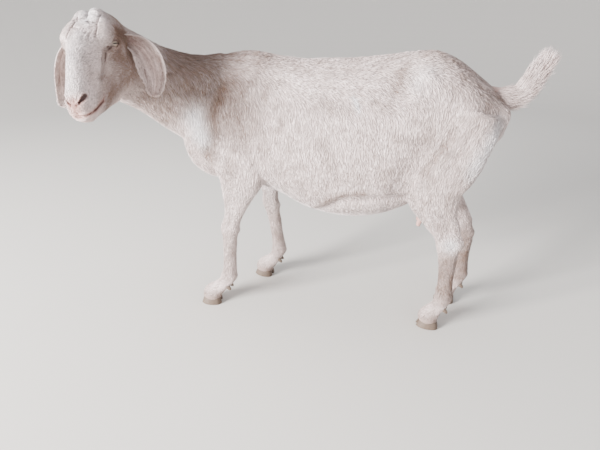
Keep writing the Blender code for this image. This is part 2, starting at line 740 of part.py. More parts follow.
# Ear rows: out, ahead, up, half width, half the curl in radians, degrees that the hollow faces out
EARS = {
    "left": [
        (-0.016, 0.004, 0.002, 0.015, 1.90, 10),
        (0.004, 0.004, 0.001, 0.018, 1.60, 6),
        (0.022, 0.006, -0.005, 0.022, 1.20, 4),
        (0.042, 0.009, -0.017, 0.030, 0.90, 0),
        (0.0575, 0.014, -0.038, 0.0360, 0.72, -2),
        (0.067, 0.020, -0.064, 0.0370, 0.62, -4),
        (0.0705, 0.027, -0.088, 0.0300, 0.58, -4),
        (0.0685, 0.033, -0.107, 0.0215, 0.55, -4),
        (0.0665, 0.037, -0.118, 0.0135, 0.50, -4),
        (0.0655, 0.039, -0.123, 0.0060, 0.45, -4),
    ],
    "right": [
        (-0.016, 0.004, 0.002, 0.015, 1.90, 0),
        (0.002, 0.000, 0.001, 0.018, 1.60, -8),
        (0.018, -0.004, -0.006, 0.022, 1.20, -22),
        (0.036, -0.006, -0.022, 0.028, 0.90, -36),
        (0.050, -0.004, -0.047, 0.0320, 0.72, -48),
        (0.058, 0.000, -0.076, 0.0310, 0.62, -50),
        (0.062, 0.006, -0.105, 0.0265, 0.58, -44),
        (0.066, 0.011, -0.128, 0.0200, 0.55, -34),
        (0.070, 0.015, -0.142, 0.0130, 0.50, -26),
        (0.072, 0.017, -0.148, 0.0055, 0.45, -24),
    ],
}

# Outline of the tail's hair: x, z, half depth, half width
TAIL = [
    (0.330, 0.670, 0.022, 0.018),
    (0.358, 0.662, 0.028, 0.021),
    (0.388, 0.662, 0.030, 0.022),
    (0.412, 0.680, 0.029, 0.022),
    (0.428, 0.710, 0.026, 0.021),
    (0.443, 0.744, 0.021, 0.017),
    (0.454, 0.768, 0.012, 0.010),
    (0.459, 0.778, 0.004, 0.004),
]
DOCK_SHARE = 0.50  # thickness of the dock, of the hair round it
DOCK_END = 0.72  # how far along the tail the dock goes
LOCK_TIERS = 5
LOCKS_ROUND = 5
LOCK_REACH = 0.34  # how far along the tail a lock goes, of the tail's whole length
LOCK_HALF_WIDTH = 0.0135
LOCK_HALF_THICK = 0.0036
LOCK_SECTION = (0.60, 1.00, 0.80, 0.12)  # width along a lock, from the root to the tip


def tail():
    """The dock with its long hair, in tiers of flat locks that lie back along it and overlap."""
    rows = through(TAIL, 61)
    middles = np.stack([rows[:, 0], np.zeros(61), rows[:, 1]], 1)
    along = np.gradient(middles, axis=0)
    along /= np.linalg.norm(along, axis=1)[:, None]
    level = np.array((0, 1.0, 0))
    last = round(60 * DOCK_END)
    half = rows[:last:4, 2:4] * DOCK_SHARE
    core = limb("tail", middles[:last:4], half[:, 0], half[:, 1], level, 12)
    chance = random.Random(7)
    locks = []
    for tier in range(LOCK_TIERS):
        start = 0.14 + (1 - LOCK_REACH - 0.14) * tier / (LOCK_TIERS - 1)
        for turn in range(LOCKS_ROUND):
            angle = math.tau * (turn + 0.5 * (tier % 2) + chance.uniform(-0.12, 0.12)) / LOCKS_ROUND
            reach = LOCK_REACH * chance.uniform(0.88, 1.0)
            centres = []
            for step, lift in zip(np.linspace(0, 1, 4), (0.10, 0.72, 0.86, 0.90)):
                i = min(60, round(60 * (start + reach * step)))
                front = np.cross(level, along[i])
                ray = math.sin(angle) * level * rows[i, 3] + math.cos(angle) * front * rows[i, 2]
                centres.append(middles[i] + ray * lift)
            flat = math.cos(angle) * level - math.sin(angle) * np.cross(level, along[i])
            share = np.array(LOCK_SECTION) * chance.uniform(0.9, 1.1)
            lock = limb("lock", centres, LOCK_HALF_THICK * share, LOCK_HALF_WIDTH * share, flat, 4, 2.0)
            locks.append(lock)
    return union(core, locks)


def union(core, pieces):
    """One closed body from the core and all the pieces."""
    group = bpy.data.collections.new("pieces")
    for piece in pieces:
        group.objects.link(piece)
    step = core.modifiers.new("fuse", "BOOLEAN")
    step.operation = "UNION"
    step.solver = "EXACT"
    step.operand_type = "COLLECTION"
    step.collection = group
    applied(core)
    for piece in pieces:
        bpy.data.objects.remove(piece, do_unlink=True)
    bpy.data.collections.remove(group)
    return largest_part(core)


def udder():
    """A small bag between the thighs with two teats."""
    pieces = [ball("bag", (0.222, 0, 0.402), (0.058, 0.040, 0.050), 20, 12)]
    for side in (-1, 1):
        line = [(0.218, 0.362, 0.017), (0.210, 0.336, 0.0125), (0.204, 0.312, 0.0095), (0.200, 0.294, 0.0070)]
        rows = through(line, 10)
        middles = np.stack([rows[:, 0], side * (0.021 + 0 * rows[:, 0]), rows[:, 1]], 1)
        pieces.append(limb("teat", middles, rows[:, 2], rows[:, 2], (0, 1, 0), 14))
    bag = joined("udder", pieces)
    remesh = bag.modifiers.new("fuse", "REMESH")
    remesh.mode = "VOXEL"
    remesh.voxel_size = 0.004
    applied(bag)
    smoothed(bag, 8, lambda p: np.ones(len(p)))
    decimate = bag.modifiers.new("thin", "DECIMATE")
    decimate.ratio = 0.09
    return applied(bag)


def material(name, colour, rough):
    found = bpy.data.materials.get(name)
    if found:
        return found
    made = bpy.data.materials.new(name)
    made.use_nodes = True
    shader = made.node_tree.nodes["Principled BSDF"]
    shader.inputs["Base Color"].default_value = (*colour, 1)
    shader.inputs["Roughness"].default_value = rough
    return made


CREAM = (0.76, 0.66, 0.60)
COLOURS = {
    "torso": ("torso_coat", CREAM, 0.85),
    "neck": ("neck_coat", (0.62, 0.50, 0.44), 0.85),
    "head": ("head_coat", (0.72, 0.63, 0.58), 0.8),
    "leg": ("leg_coat", (0.72, 0.60, 0.53), 0.85),
    "tail": ("tail_hair", (0.78, 0.70, 0.62), 0.85),
    "udder": ("udder_skin", (0.62, 0.40, 0.34), 0.6),
    "ear": ("ear_coat", (0.66, 0.52, 0.46), 0.8),
    "eye": ("eye_amber", (0.20, 0.13, 0.06), 0.15),
    "claw": ("claw_horn", (0.20, 0.16, 0.13), 0.5),
    "dewclaw": ("dewclaw_horn", (0.20, 0.16, 0.13), 0.5),
}


def main():
    clear_scene()
    body = flesh()
    nodes = []

    # Where the parts meet: the head behind the jaw, the neck in front of the shoulders,
    # the legs below the elbow and across the thigh
    head = part_off(body, "head", [((-0.566, -0.122, 0.726), (0.46, 0.65, -0.60))])
    nodes.append(head)
    nodes.append(part_off(body, "neck", [((-0.402, 0, 0.655), (0.825, 0, -0.565))]))
    legs = {}
    for name in FEET:
        side = SIDES[name.split("_")[1]]
        if "front" in name:
            planes = [
                ((-0.30, 0, 0.430), (-0.10, 0, 1)),
                ((0, 0.046 * side, 0), (0, -side, 0)),
                ((-0.214, 0, 0), (1, 0, 0)),
            ]
        else:
            planes = [
                ((0.255, 0, 0.492), (-0.42, 0, 1)),
                ((0, 0.034 * side, 0), (0, -side, 0)),
                ((0.146, 0, 0), (-1, 0, 0)),
            ]
        legs[name] = part_off(body, "leg_" + name, planes)
    body.name = "torso"
    nodes.append(body)

    for name, piece in legs.items():
        cut(piece, above_coronet(name), "DIFFERENCE")
        for side in (-1, 1):
            spur = dewclaw(name, side)
            cut(piece, swollen(spur, "socket", GAP), "DIFFERENCE")
            nodes += [spur, claw(name, side)]
        nodes.append(piece)

    for name, side in SIDES.items():
        centre = eye_centre(side)
        globe = ball("eye_" + name, centre, EYE_RADIUS, 18, 11)
        cut(head, ball("socket", centre, EYE_RADIUS + GAP, 18, 11), "DIFFERENCE")
        cut(head, lid_opening(side), "DIFFERENCE")
        cut(head, nostril(side), "DIFFERENCE")
        nodes.append(globe)
    cut(head, mouth(head), "DIFFERENCE")
    for name, side in SIDES.items():
        blade = ear("ear_" + name, side, EARS[name])
        for near in (head, nodes[1]):
            cut(blade, swollen(near, "near", GAP), "DIFFERENCE")
        nodes.append(blade)

    hair = tail()
    cut(hair, swollen(body, "near", GAP), "DIFFERENCE")
    bag = udder()
    for near in (body, legs["hind_left"], legs["hind_right"]):
        cut(bag, swollen(near, "near", GAP), "DIFFERENCE")
    nodes += [hair, bag]

    for node in nodes:
        largest_part(node)
    points = np.concatenate([coordinates(node) for node in nodes])
    low, high = points.min(0), points.max(0)
    shift = -np.array(((low[0] + high[0]) / 2, (low[1] + high[1]) / 2, low[2]))
    for node in nodes:
        move_points(node, coordinates(node) + shift)
        node.data.materials.clear()
        name, colour, rough = COLOURS[node.name.split("_")[0]]
        node.data.materials.append(material(name, colour, rough))


main()
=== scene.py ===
import math

import bmesh
import bpy
import numpy as np
from mathutils import Matrix, Vector, noise
from mathutils.bvhtree import BVHTree


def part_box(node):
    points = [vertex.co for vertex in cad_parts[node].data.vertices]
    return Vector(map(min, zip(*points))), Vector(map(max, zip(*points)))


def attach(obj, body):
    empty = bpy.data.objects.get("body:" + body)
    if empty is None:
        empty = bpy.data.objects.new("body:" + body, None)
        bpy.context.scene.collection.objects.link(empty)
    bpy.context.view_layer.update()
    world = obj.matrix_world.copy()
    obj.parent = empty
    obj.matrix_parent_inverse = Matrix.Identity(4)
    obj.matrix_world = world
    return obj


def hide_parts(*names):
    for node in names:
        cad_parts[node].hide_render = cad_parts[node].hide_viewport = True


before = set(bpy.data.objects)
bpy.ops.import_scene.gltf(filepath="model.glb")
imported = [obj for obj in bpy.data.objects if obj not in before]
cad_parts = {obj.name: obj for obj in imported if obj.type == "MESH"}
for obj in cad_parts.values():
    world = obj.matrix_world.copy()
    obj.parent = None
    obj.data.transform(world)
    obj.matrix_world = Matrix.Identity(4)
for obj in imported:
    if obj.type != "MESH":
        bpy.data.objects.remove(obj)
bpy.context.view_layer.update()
rng = np.random.default_rng(41)

# The trunk, neck and legs are worked out with the goat facing -X and her left side towards -Y, feet around the origin
trunkShape = {
    "rows": [  # x, top, bottom, half width, height of the widest place, fullness above and below
        (-0.486, 0.566, 0.470, 0.036, 0.520, 2.0, 2.0),
        (-0.468, 0.632, 0.430, 0.070, 0.530, 2.0, 2.0),
        (-0.424, 0.705, 0.402, 0.098, 0.545, 1.9, 2.1),
        (-0.362, 0.742, 0.394, 0.118, 0.560, 1.8, 2.2),
        (-0.285, 0.756, 0.392, 0.132, 0.560, 1.7, 2.2),
        (-0.200, 0.745, 0.374, 0.150, 0.545, 1.8, 2.2),
        (-0.110, 0.736, 0.336, 0.168, 0.530, 1.9, 2.3),
        (-0.010, 0.738, 0.320, 0.176, 0.520, 1.9, 2.3),
        (0.080, 0.748, 0.331, 0.172, 0.530, 1.9, 2.3),
        (0.150, 0.758, 0.356, 0.156, 0.560, 2.0, 2.1),
        (0.200, 0.759, 0.392, 0.140, 0.600, 2.2, 2.0),
        (0.255, 0.742, 0.440, 0.122, 0.620, 2.2, 2.0),
        (0.310, 0.706, 0.485, 0.102, 0.610, 2.1, 2.0),
        (0.350, 0.675, 0.525, 0.078, 0.605, 2.0, 2.0),
        (0.378, 0.648, 0.560, 0.048, 0.602, 2.0, 2.0),
    ],
    "rings": 90,
    "around": 64,
}
neckShape = {
    "rows": [  # x, y, z of the middle, half depth, half width
        (-0.290, 0.000, 0.610, 0.115, 0.080),
        (-0.385, -0.010, 0.614, 0.136, 0.086),
        (-0.462, -0.038, 0.640, 0.113, 0.072),
        (-0.530, -0.085, 0.684, 0.091, 0.061),
        (-0.575, -0.132, 0.722, 0.088, 0.056),
        (-0.594, -0.176, 0.752, 0.088, 0.052),
    ],
    "rings": 46,
    "around": 48,
}
headShape = {
    "place": (-0.586, -0.219, 0.845),
    "facing": 103.0,  # degrees turned to her left
    "down": 32.0,  # degrees that the line of the face falls
    "roll": 4.6,
    "rows": [  # along the face, top, bottom, half width, height of the widest place, fullness above and below
        (-0.042, -0.030, -0.095, 0.026, -0.062, 2.0, 2.0),
        (-0.026, -0.006, -0.130, 0.046, -0.060, 2.0, 2.0),
        (-0.002, 0.006, -0.158, 0.055, -0.054, 2.2, 2.0),
        (0.032, 0.014, -0.182, 0.061, -0.044, 2.5, 1.8),
        (0.062, 0.018, -0.184, 0.062, -0.036, 2.6, 1.7),
        (0.092, 0.020, -0.176, 0.054, -0.038, 2.5, 1.6),
        (0.128, 0.019, -0.156, 0.0385, -0.048, 2.3, 1.7),
        (0.166, 0.012, -0.135, 0.0305, -0.052, 2.3, 1.9),
        (0.198, 0.000, -0.117, 0.0270, -0.052, 2.3, 2.1),
        (0.224, -0.014, -0.103, 0.0265, -0.054, 2.3, 2.2),
        (0.242, -0.028, -0.089, 0.0230, -0.058, 2.2, 2.2),
        (0.253, -0.043, -0.078, 0.0135, -0.060, 2.0, 2.0),
    ],
    "rings": 90,
    "around": 72,
}
legShape = {
    "feet": {  # x and distance from the middle where the sole stands, degrees that the toes turn out
        "front_left": (-0.412, 0.106, 14.0),
        "front_right": (-0.294, 0.090, 4.0),
        "hind_left": (0.262, 0.082, 3.0),
        "hind_right": (0.318, 0.064, 6.0),
    },
    "fore": [  # x, distance from the middle, height, half depth, half width, how far it goes with the foot
        (-0.300, 0.078, 0.570, 0.078, 0.042, 0.00),
        (-0.300, 0.092, 0.500, 0.084, 0.046, 0.02),
        (-0.295, 0.100, 0.440, 0.070, 0.039, 0.08),
        (-0.307, 0.104, 0.380, 0.046, 0.031, 0.22),
        (-0.321, 0.106, 0.322, 0.0275, 0.0240, 0.42),
        (-0.331, 0.106, 0.290, 0.0250, 0.0250, 0.52),
        (-0.336, 0.106, 0.264, 0.0240, 0.0240, 0.60),
        (-0.340, 0.106, 0.234, 0.0190, 0.0185, 0.68),
        (-0.344, 0.106, 0.182, 0.0165, 0.0160, 0.78),
        (-0.347, 0.106, 0.136, 0.0175, 0.0170, 0.86),
        (-0.352, 0.106, 0.105, 0.0225, 0.0215, 0.92),
        (-0.367, 0.106, 0.080, 0.0200, 0.0200, 0.96),
        (-0.388, 0.106, 0.058, 0.0225, 0.0225, 1.00),
        (-0.410, 0.106, 0.036, 0.0290, 0.0265, 1.00),
        (-0.414, 0.106, 0.018, 0.0280, 0.0260, 1.00),
    ],
    "hind": [
        (0.252, 0.072, 0.640, 0.100, 0.048, 0.00),
        (0.242, 0.086, 0.560, 0.106, 0.052, 0.04),
        (0.226, 0.096, 0.480, 0.094, 0.048, 0.12),
        (0.228, 0.096, 0.420, 0.070, 0.039, 0.30),
        (0.250, 0.091, 0.360, 0.047, 0.029, 0.40),
        (0.274, 0.085, 0.310, 0.033, 0.0235, 0.62),
        (0.284, 0.083, 0.272, 0.0315, 0.0225, 0.80),
        (0.287, 0.082, 0.238, 0.0240, 0.0205, 1.00),
        (0.289, 0.082, 0.190, 0.0185, 0.0165, 1.00),
        (0.291, 0.082, 0.140, 0.0180, 0.0165, 1.00),
        (0.292, 0.082, 0.106, 0.0225, 0.0210, 1.00),
        (0.286, 0.082, 0.080, 0.0200, 0.0200, 1.00),
        (0.272, 0.082, 0.058, 0.0225, 0.0225, 1.00),
        (0.260, 0.082, 0.036, 0.0290, 0.0265, 1.00),
        (0.258, 0.082, 0.018, 0.0280, 0.0260, 1.00),
    ],
    "rings": 90,
    "around": 32,
    "fullness": 2.15,  # 2 is an ellipse, more is squarer
}
sideSign = {"left": -1, "right": 1}


# Smooth values through the rows: each stretch is the cubic that meets its ends at the slope of their neighbours
def flow(rows, count):
    rows = np.array(rows, float)
    place = np.linspace(0, len(rows) - 1, count)
    start = np.clip(np.floor(place).astype(int), 0, len(rows) - 2)
    f = (place - start)[:, None]
    a, b = rows[np.clip(start - 1, 0, None)], rows[start]
    c, d = rows[start + 1], rows[np.clip(start + 2, None, len(rows) - 1)]
    return 0.5 * (2 * b + (c - a) * f + (2 * a - 5 * b + 4 * c - d) * f**2 + (3 * b - a - 3 * c + d) * f**3)


def unit(v):
    return v / np.maximum(np.linalg.norm(v, axis=-1, keepdims=True), 1e-12)


# What is left of the ways v once they are laid flat on the surface that faces n
def flatOn(v, n):
    return unit(v - n * (v * n).sum(1, keepdims=True))


# Passes smoothly from 0 to 1 as the value goes from low to high: 3f^2 - 2f^3
def ramp(value, low, high):
    f = np.clip((value - low) / (high - low), 0, 1)
    return f * f * (3 - 2 * f)


# 1 in the middle, falling away as exp(-(distance/spread)^power)
def bell(far, spread, power=2):
    return np.exp(-((far / spread) ** power))


# A section is a superellipse in the angle: across = wide*sin^(2/n), up = height*cos^(2/n), each half with its own
# height and n
def ovals(count, wide, up, down, fullUp, fullDown):
    angle = np.arange(count) * math.tau / count
    c, s = np.cos(angle)[None], np.sin(angle)[None]
    n = np.where(c > 0, fullUp, fullDown)
    height = np.where(c > 0, up, down)
    return wide * np.sign(s) * np.abs(s) ** (2 / n), height * np.sign(c) * np.abs(c) ** (2 / n)


# The quads between neighbouring rings of a grid that closes round, with a fan to the middle of each end
def tubeFaces(rings, around):
    i, j = np.meshgrid(np.arange(rings - 1), np.arange(around), indexing="ij")
    k, up = (j + 1) % around, around
    sides = np.stack([i * up + j, i * up + k, (i + 1) * up + k, (i + 1) * up + j], -1).reshape(-1, 4)
    j, k = np.arange(around), (np.arange(around) + 1) % around
    last = (rings - 1) * around
    first = np.stack([np.full(around, rings * around), k, j], 1)
    end = np.stack([np.full(around, rings * around + 1), last + j, last + k], 1)
    return sides.tolist() + first.tolist() + end.tolist()


# A closed surface on a grid of points: rings[along, around]
def tube(rings):
    ends = np.stack([rings[0].mean(0), rings[-1].mean(0)])
    return np.concatenate([rings.reshape(-1, 3), ends]), tubeFaces(*rings.shape[:2])


def objectOf(name, mesh):
    obj = bpy.data.objects.new(name, mesh)
    bpy.context.scene.collection.objects.link(obj)
    return obj


# One object from several closed surfaces, each turned so that its faces point out
def solidsToObject(name, solids):
    points, faces, start = [], [], 0
    for p, f in solids:
        points.append(p)
        faces += [[v + start for v in face] for face in f]
        start += len(p)
    mesh = bpy.data.meshes.new(name)
    mesh.from_pydata(np.concatenate(points).tolist(), [], faces)
    work = bmesh.new()
    work.from_mesh(mesh)
    bmesh.ops.recalc_face_normals(work, faces=work.faces)
    work.to_mesh(mesh)
    work.free()
    mesh.polygons.foreach_set("use_smooth", [True] * len(mesh.polygons))
    return objectOf(name, mesh)


# A mesh straight from whole arrays, every face with the same number of corners
def meshOf(name, points, faces):
    mesh = bpy.data.meshes.new(name)
    count, corners = faces.shape
    mesh.vertices.add(len(points))
    mesh.loops.add(count * corners)
    mesh.polygons.add(count)
    mesh.vertices.foreach_set("co", np.ascontiguousarray(points, np.float32).ravel())
    mesh.loops.foreach_set("vertex_index", np.ascontiguousarray(faces, np.int32).ravel())
    mesh.polygons.foreach_set("loop_start", np.arange(0, count * corners, corners, dtype=np.int32))
    mesh.polygons.foreach_set("use_smooth", np.ones(count, bool))
    mesh.update(calc_edges=True)
    return mesh


def placesOf(mesh, what="co"):
    flat = np.empty(len(mesh.vertices) * 3, np.float32)
    mesh.vertices.foreach_get(what, flat)
    return flat.reshape(-1, 3).astype(float)


def normalsOf(mesh):
    return placesOf(mesh, "normal")


def moveTo(mesh, points):
    mesh.vertices.foreach_set("co", points.astype(np.float32).ravel())
    mesh.update()


# What an object's modifiers make of it, as a mesh of its own
def madeMesh(obj):
    bpy.context.view_layer.update()
    return bpy.data.meshes.new_from_object(obj.evaluated_get(bpy.context.evaluated_depsgraph_get()))


def trunkRings():
    rows = flow(trunkShape["rows"], trunkShape["rings"])
    x, top, bottom, wide, middle, fullUp, fullDown = rows.T[:, :, None]
    across, up = ovals(trunkShape["around"], wide, top - middle, middle - bottom, fullUp, fullDown)
    return np.stack([x + 0 * across, across, middle + up], -1)


# A limb is a superellipse carried along a bent line: half width across the goat, half depth square to it
def limbRings(middles, deep, wide, around):
    way = unit(np.gradient(middles, axis=0))
    across = flatOn(np.broadcast_to((0.0, 1.0, 0.0), middles.shape), way)
    front = np.cross(across, way)
    full = legShape["fullness"]
    a, b = ovals(around, wide[:, None], deep[:, None], deep[:, None], full, full)
    return middles[:, None] + a[..., None] * across[:, None] + b[..., None] * front[:, None]


def neckRings():
    rows = flow(neckShape["rows"], neckShape["rings"])
    way = unit(np.gradient(rows[:, :3], axis=0))
    across = unit(np.cross(way, (0, 0, 1)))
    up = np.cross(across, way)
    deep = rows[:, 3:4]
    a, b = ovals(neckShape["around"], rows[:, 4:5], deep, deep, 1.8, 2.1)
    return rows[:, None, :3] + a[..., None] * across[:, None] + b[..., None] * up[:, None]


# The head's own frame: along the face from the poll, up out of the forehead, and to her right
def headFrame():
    facing, down = math.radians(180 + headShape["facing"]), math.radians(headShape["down"])
    level = Vector((math.cos(facing), math.sin(facing), 0))
    along = level * math.cos(down) + Vector((0, 0, -math.sin(down)))
    right = Matrix.Rotation(math.radians(headShape["roll"]), 3, along) @ level.cross(Vector((0, 0, 1)))
    return np.array([along, right.cross(along), right])


headAxes = headFrame()


def fromHead(points):
    return np.asarray(points, float) @ headAxes + np.array(headShape["place"])


def toHead(points):
    return (np.asarray(points, float) - np.array(headShape["place"])) @ headAxes.T


def headRings():
    rows = flow(headShape["rows"], headShape["rings"])
    u, top, bottom, wide, middle, fullUp, fullDown = rows.T[:, :, None]
    across, up = ovals(headShape["around"], wide, top - middle, middle - bottom, fullUp, fullDown)
    return fromHead(np.stack([u + 0 * across, middle + up, across], -1))


def legLine(name):
    kind, side = name.split("_")
    rows = flow(legShape["fore" if kind == "front" else "hind"], legShape["rings"])
    x, out, _ = legShape["feet"][name]
    baseX, baseOut, _ = legShape["feet"][kind + "_left"]
    follow = rows[:, 5]
    y = sideSign[side] * (rows[:, 1] + follow * (out - baseOut))
    return np.stack([rows[:, 0] + follow * (x - baseX), y, rows[:, 2]], 1), rows[:, 3], rows[:, 4]


# How far each point is from a bent line, how far along it the nearest place is, from 0 to 1, and that place
def nearLine(points, line):
    line = np.array(line, float).reshape(-1, 3)
    if len(line) == 1:
        return np.linalg.norm(points - line[0], axis=1), np.zeros(len(points)), np.broadcast_to(line, points.shape)
    best, where, place = np.full(len(points), 1e9), np.zeros(len(points)), np.zeros(points.shape)
    for i, (start, end) in enumerate(zip(line[:-1], line[1:])):
        step = end - start
        t = np.clip((points - start) @ step / (step @ step), 0, 1)
        spot = start + t[:, None] * step
        far = np.linalg.norm(points - spot, axis=1)
        closer = far < best
        best = np.where(closer, far, best)
        where = np.where(closer, (i + t) / (len(line) - 1), where)
        place[closer] = spot[closer]
    return best, where, place


# The same, with the distance beside the line measured along the surface, so that a line need not lie right on it
def besideLine(points, ups, line):
    far, where, place = nearLine(points, line)
    offset = points - place
    away = (offset * ups).sum(1)
    return far, where, np.sqrt(np.maximum((offset**2).sum(1) - away**2, 0))


# Which points lie in the box round a line that reaches some way past it
def boxed(points, line, reach):
    low, high = np.min(line, 0) - reach, np.max(line, 0) + reach
    return np.flatnonzero(((points > low) & (points < high)).all(1))


# Height to add: each form is a line, how far it spreads and how high it stands, rise * exp(-(distance/spread)^2)
def relief(points, forms):
    height = np.zeros(len(points))
    for line, spread, rise in forms:
        i = boxed(points, line, 3 * spread)
        height[i] += rise * bell(nearLine(points[i], line)[0], spread)
    return height


# The same for fine creases, by the distance along the surface; a crease fades at creaseReach under or over its line
def creases(points, ups, forms):
    height = np.zeros(len(points))
    for line, spread, rise in forms:
        i = boxed(points, line, creaseReach)
        far, _, beside = besideLine(points[i], ups[i], line)
        height[i] += rise * bell(beside, spread) * np.clip(2 - 2 * far / creaseReach, 0, 1)
    return height


creaseReach = 0.016


# A line given for the right side, laid on the side asked for; its places change sign along the axis across the goat
def onSide(line, side, axis):
    return (np.array(line, float).reshape(-1, 3) * np.where(np.arange(3) == axis, side, 1)).tolist()


# The same for a whole list of (line, spread, strength), on both sides
def bothSides(forms, axis):
    return [(onSide(line, side, axis), spread, size) for side in (-1, 1) for line, spread, size in forms]


# Muscles and bones as (line, spread, rise), for the right side; the left mirrors it
bodySides = [
    ([(-0.245, 0.055, 0.725), (-0.335, 0.118, 0.600)], 0.030, 0.007),  # shoulder blade
    ([(-0.425, 0.085, 0.545)], 0.040, 0.012),  # point of the shoulder
    ([(-0.250, 0.130, 0.460)], 0.036, 0.009),  # elbow
    ([(-0.190, 0.130, 0.600)], 0.050, -0.007),  # hollow behind the shoulder
    ([(-0.375, 0.085, 0.700), (-0.415, 0.090, 0.610)], 0.025, -0.008),  # hollow before it
    ([(0.120, 0.100, 0.690)], 0.045, -0.016),  # hollow of the flank
    ([(0.178, 0.098, 0.712)], 0.022, 0.014),  # hook bone
    ([(0.372, 0.048, 0.625)], 0.024, 0.010),  # pin bone
    ([(0.285, 0.110, 0.640)], 0.030, 0.006),  # hip joint
    ([(0.352, 0.078, 0.575)], 0.024, 0.009),  # buttock
    ([(0.175, 0.135, 0.570), (0.135, 0.145, 0.450)], 0.028, -0.007),  # before the thigh
    # finer forms of the skin alone: folds of the thigh, the belly and the shoulder
    ([(0.253, 0.129, 0.606), (0.220, 0.139, 0.543), (0.193, 0.140, 0.495)], 0.010, -0.008),
    ([(0.262, 0.132, 0.575), (0.225, 0.142, 0.500)], 0.016, 0.003),
    ([(0.302, 0.122, 0.611), (0.269, 0.136, 0.556), (0.250, 0.141, 0.505)], 0.009, -0.003),
    ([(-0.088, 0.111, 0.366), (-0.019, 0.160, 0.425), (0.010, 0.167, 0.442), (0.079, 0.161, 0.446),
      (0.150, 0.124, 0.438)], 0.010, 0.005),
    ([(-0.075, 0.108, 0.344), (-0.010, 0.150, 0.405), (0.079, 0.150, 0.420), (0.150, 0.116, 0.412)], 0.014, -0.009),
    ([(-0.217, 0.102, 0.684), (-0.222, 0.108, 0.664)], 0.008, -0.003),
    ([(-0.313, 0.139, 0.490), (-0.318, 0.136, 0.455)], 0.012, -0.003),
    ([(-0.354, 0.113, 0.619), (-0.362, 0.119, 0.567), (-0.384, 0.108, 0.502)], 0.012, -0.003),
]
ribs = {"count": 6, "first": -0.150, "apart": 0.038, "spread": 0.010, "rise": 0.0014}
# Forms of a leg, each along its own line: (height, back, out) for each place, spread and rise
limbForms = {
    "both": [
        ([(0.235, 0, 0), (0.110, 0, 0)], 0.030, 0.0030),
        ([(0.225, 0.019, 0), (0.125, 0.019, 0)], 0.0065, 0.0032),  # tendons behind the cannon
        ([(0.225, 0.008, 0.010), (0.125, 0.008, 0.010)], 0.0045, -0.0016),
        ([(0.104, 0.018, 0)], 0.010, 0.004),  # back of the fetlock
        ([(0.084, -0.014, 0)], 0.010, -0.002),
        ([(0.036, -0.03, 0), (0.030, 0.02, 0)], 0.007, 0.0018),  # band over the claws
    ],
    "front": [
        ([(0.275, -0.024, 0)], 0.016, 0.005),  # front of the knee
        ([(0.268, 0.024, 0)], 0.010, 0.005),  # back of the knee
        ([(0.262, -0.012, 0.018)], 0.010, 0.0025),
        ([(0.246, -0.016, 0)], 0.008, -0.0015),
    ],
    "hind": [
        ([(0.290, 0.030, 0), (0.345, 0.036, 0)], 0.013, 0.006),  # heel tendon
        ([(0.322, 0.008, 0.02), (0.375, 0.014, 0.02)], 0.014, -0.006),
    ],
    "hind_left": [([(0.278, 0.028, 0)], 0.014, 0.009)],  # point of the hock
    "hind_right": [([(0.252, 0.028, 0)], 0.014, 0.006)],
}


def bodyForms():
    forms = [([(-0.07, 0, 0.735), (0.09, 0, 0.750), (0.19, 0, 0.757)], 0.055, 0.007)]  # loin
    forms += bothSides(bodySides, 1)
    for k in range(ribs["count"]):
        x = ribs["first"] + ribs["apart"] * k
        forms += bothSides([([(x, 0.125, 0.665), (x - 0.022, 0.165, 0.470)], ribs["spread"], ribs["rise"])], 1)
    for name in legShape["feet"]:
        kind, side = name.split("_")
        middles = legLine(name)[0]
        for places, spread, rise in limbForms["both"] + limbForms[kind] + limbForms.get(name, []):
            line = []
            for height, back, out in places:
                x, y, _ = middles[np.abs(middles[:, 2] - height).argmin()]
                line.append((x + back, y + out * sideSign[side], height))
            forms.append((line, spread, rise))
    return forms


# The head's forms in its own frame, as (line, spread, rise): those on the middle, those of the horn buds, and those of
# the right side
headMiddle = [
    ([(0.100, 0.020, 0), (0.175, 0.012, 0)], 0.020, 0.004),  # Roman nose
    ([(0.232, -0.092, 0)], 0.016, 0.003),  # chin
    ([(0.020, 0.013, -0.012), (0.030, 0.013, -0.020)], 0.0115, 0.0055),  # front of the left bud
]
headBuds = [  # along the face, up, the middle and the distance beside it, spread, rise
    (0.002, 0.010, 0.0065, 0.0185, 0.0175, 0.0112),  # healed horn bud
    (0.016, 0.008, 0.0060, 0.0320, 0.0160, 0.0058),  # its outer slope
    (-0.005, 0.016, 0.0060, 0.0205, 0.0065, 0.0020),  # low knobs on it
    (0.010, 0.020, 0.0050, 0.0130, 0.0065, 0.0022),
    (0.014, 0.014, 0.0060, 0.0240, 0.0060, 0.0016),
]
headSides = [
    ([(0.040, 0.012, 0.044), (0.078, 0.004, 0.050)], 0.014, 0.007),  # brow
    ([(0.0765, -0.0445, 0.058)], 0.010, -0.003),  # under the eye
    ([(0.0765, -0.0215, 0.060)], 0.0145, 0.0055),  # lids
    ([(0.105, -0.016, 0.045), (0.122, -0.029, 0.040), (0.150, -0.052, 0.033)], 0.008, -0.004),  # tear groove
    ([(0.084, -0.046, 0.060), (0.130, -0.064, 0.048)], 0.012, 0.004),  # cheekbone
    ([(0.050, -0.102, 0.052)], 0.034, 0.006),  # cheek muscle
    ([(0.016, -0.052, 0.058)], 0.016, 0.005),  # ear base
    ([(0.180, -0.030, 0.034)], 0.022, -0.003),  # beside the nose
    ([(0.234, -0.024, 0.022)], 0.009, 0.003),  # wing of the nostril
    ([(0.218, -0.060, 0.026), (0.248, -0.052, 0.012)], 0.010, 0.002),  # upper lip
]


def headForms():
    buds = [
        ([(u, v, middle + beside * side)], spread, rise)
        for side in (-1, 1) for u, v, middle, beside, spread, rise in headBuds
    ]
    return headMiddle + buds + bothSides(headSides, 2)


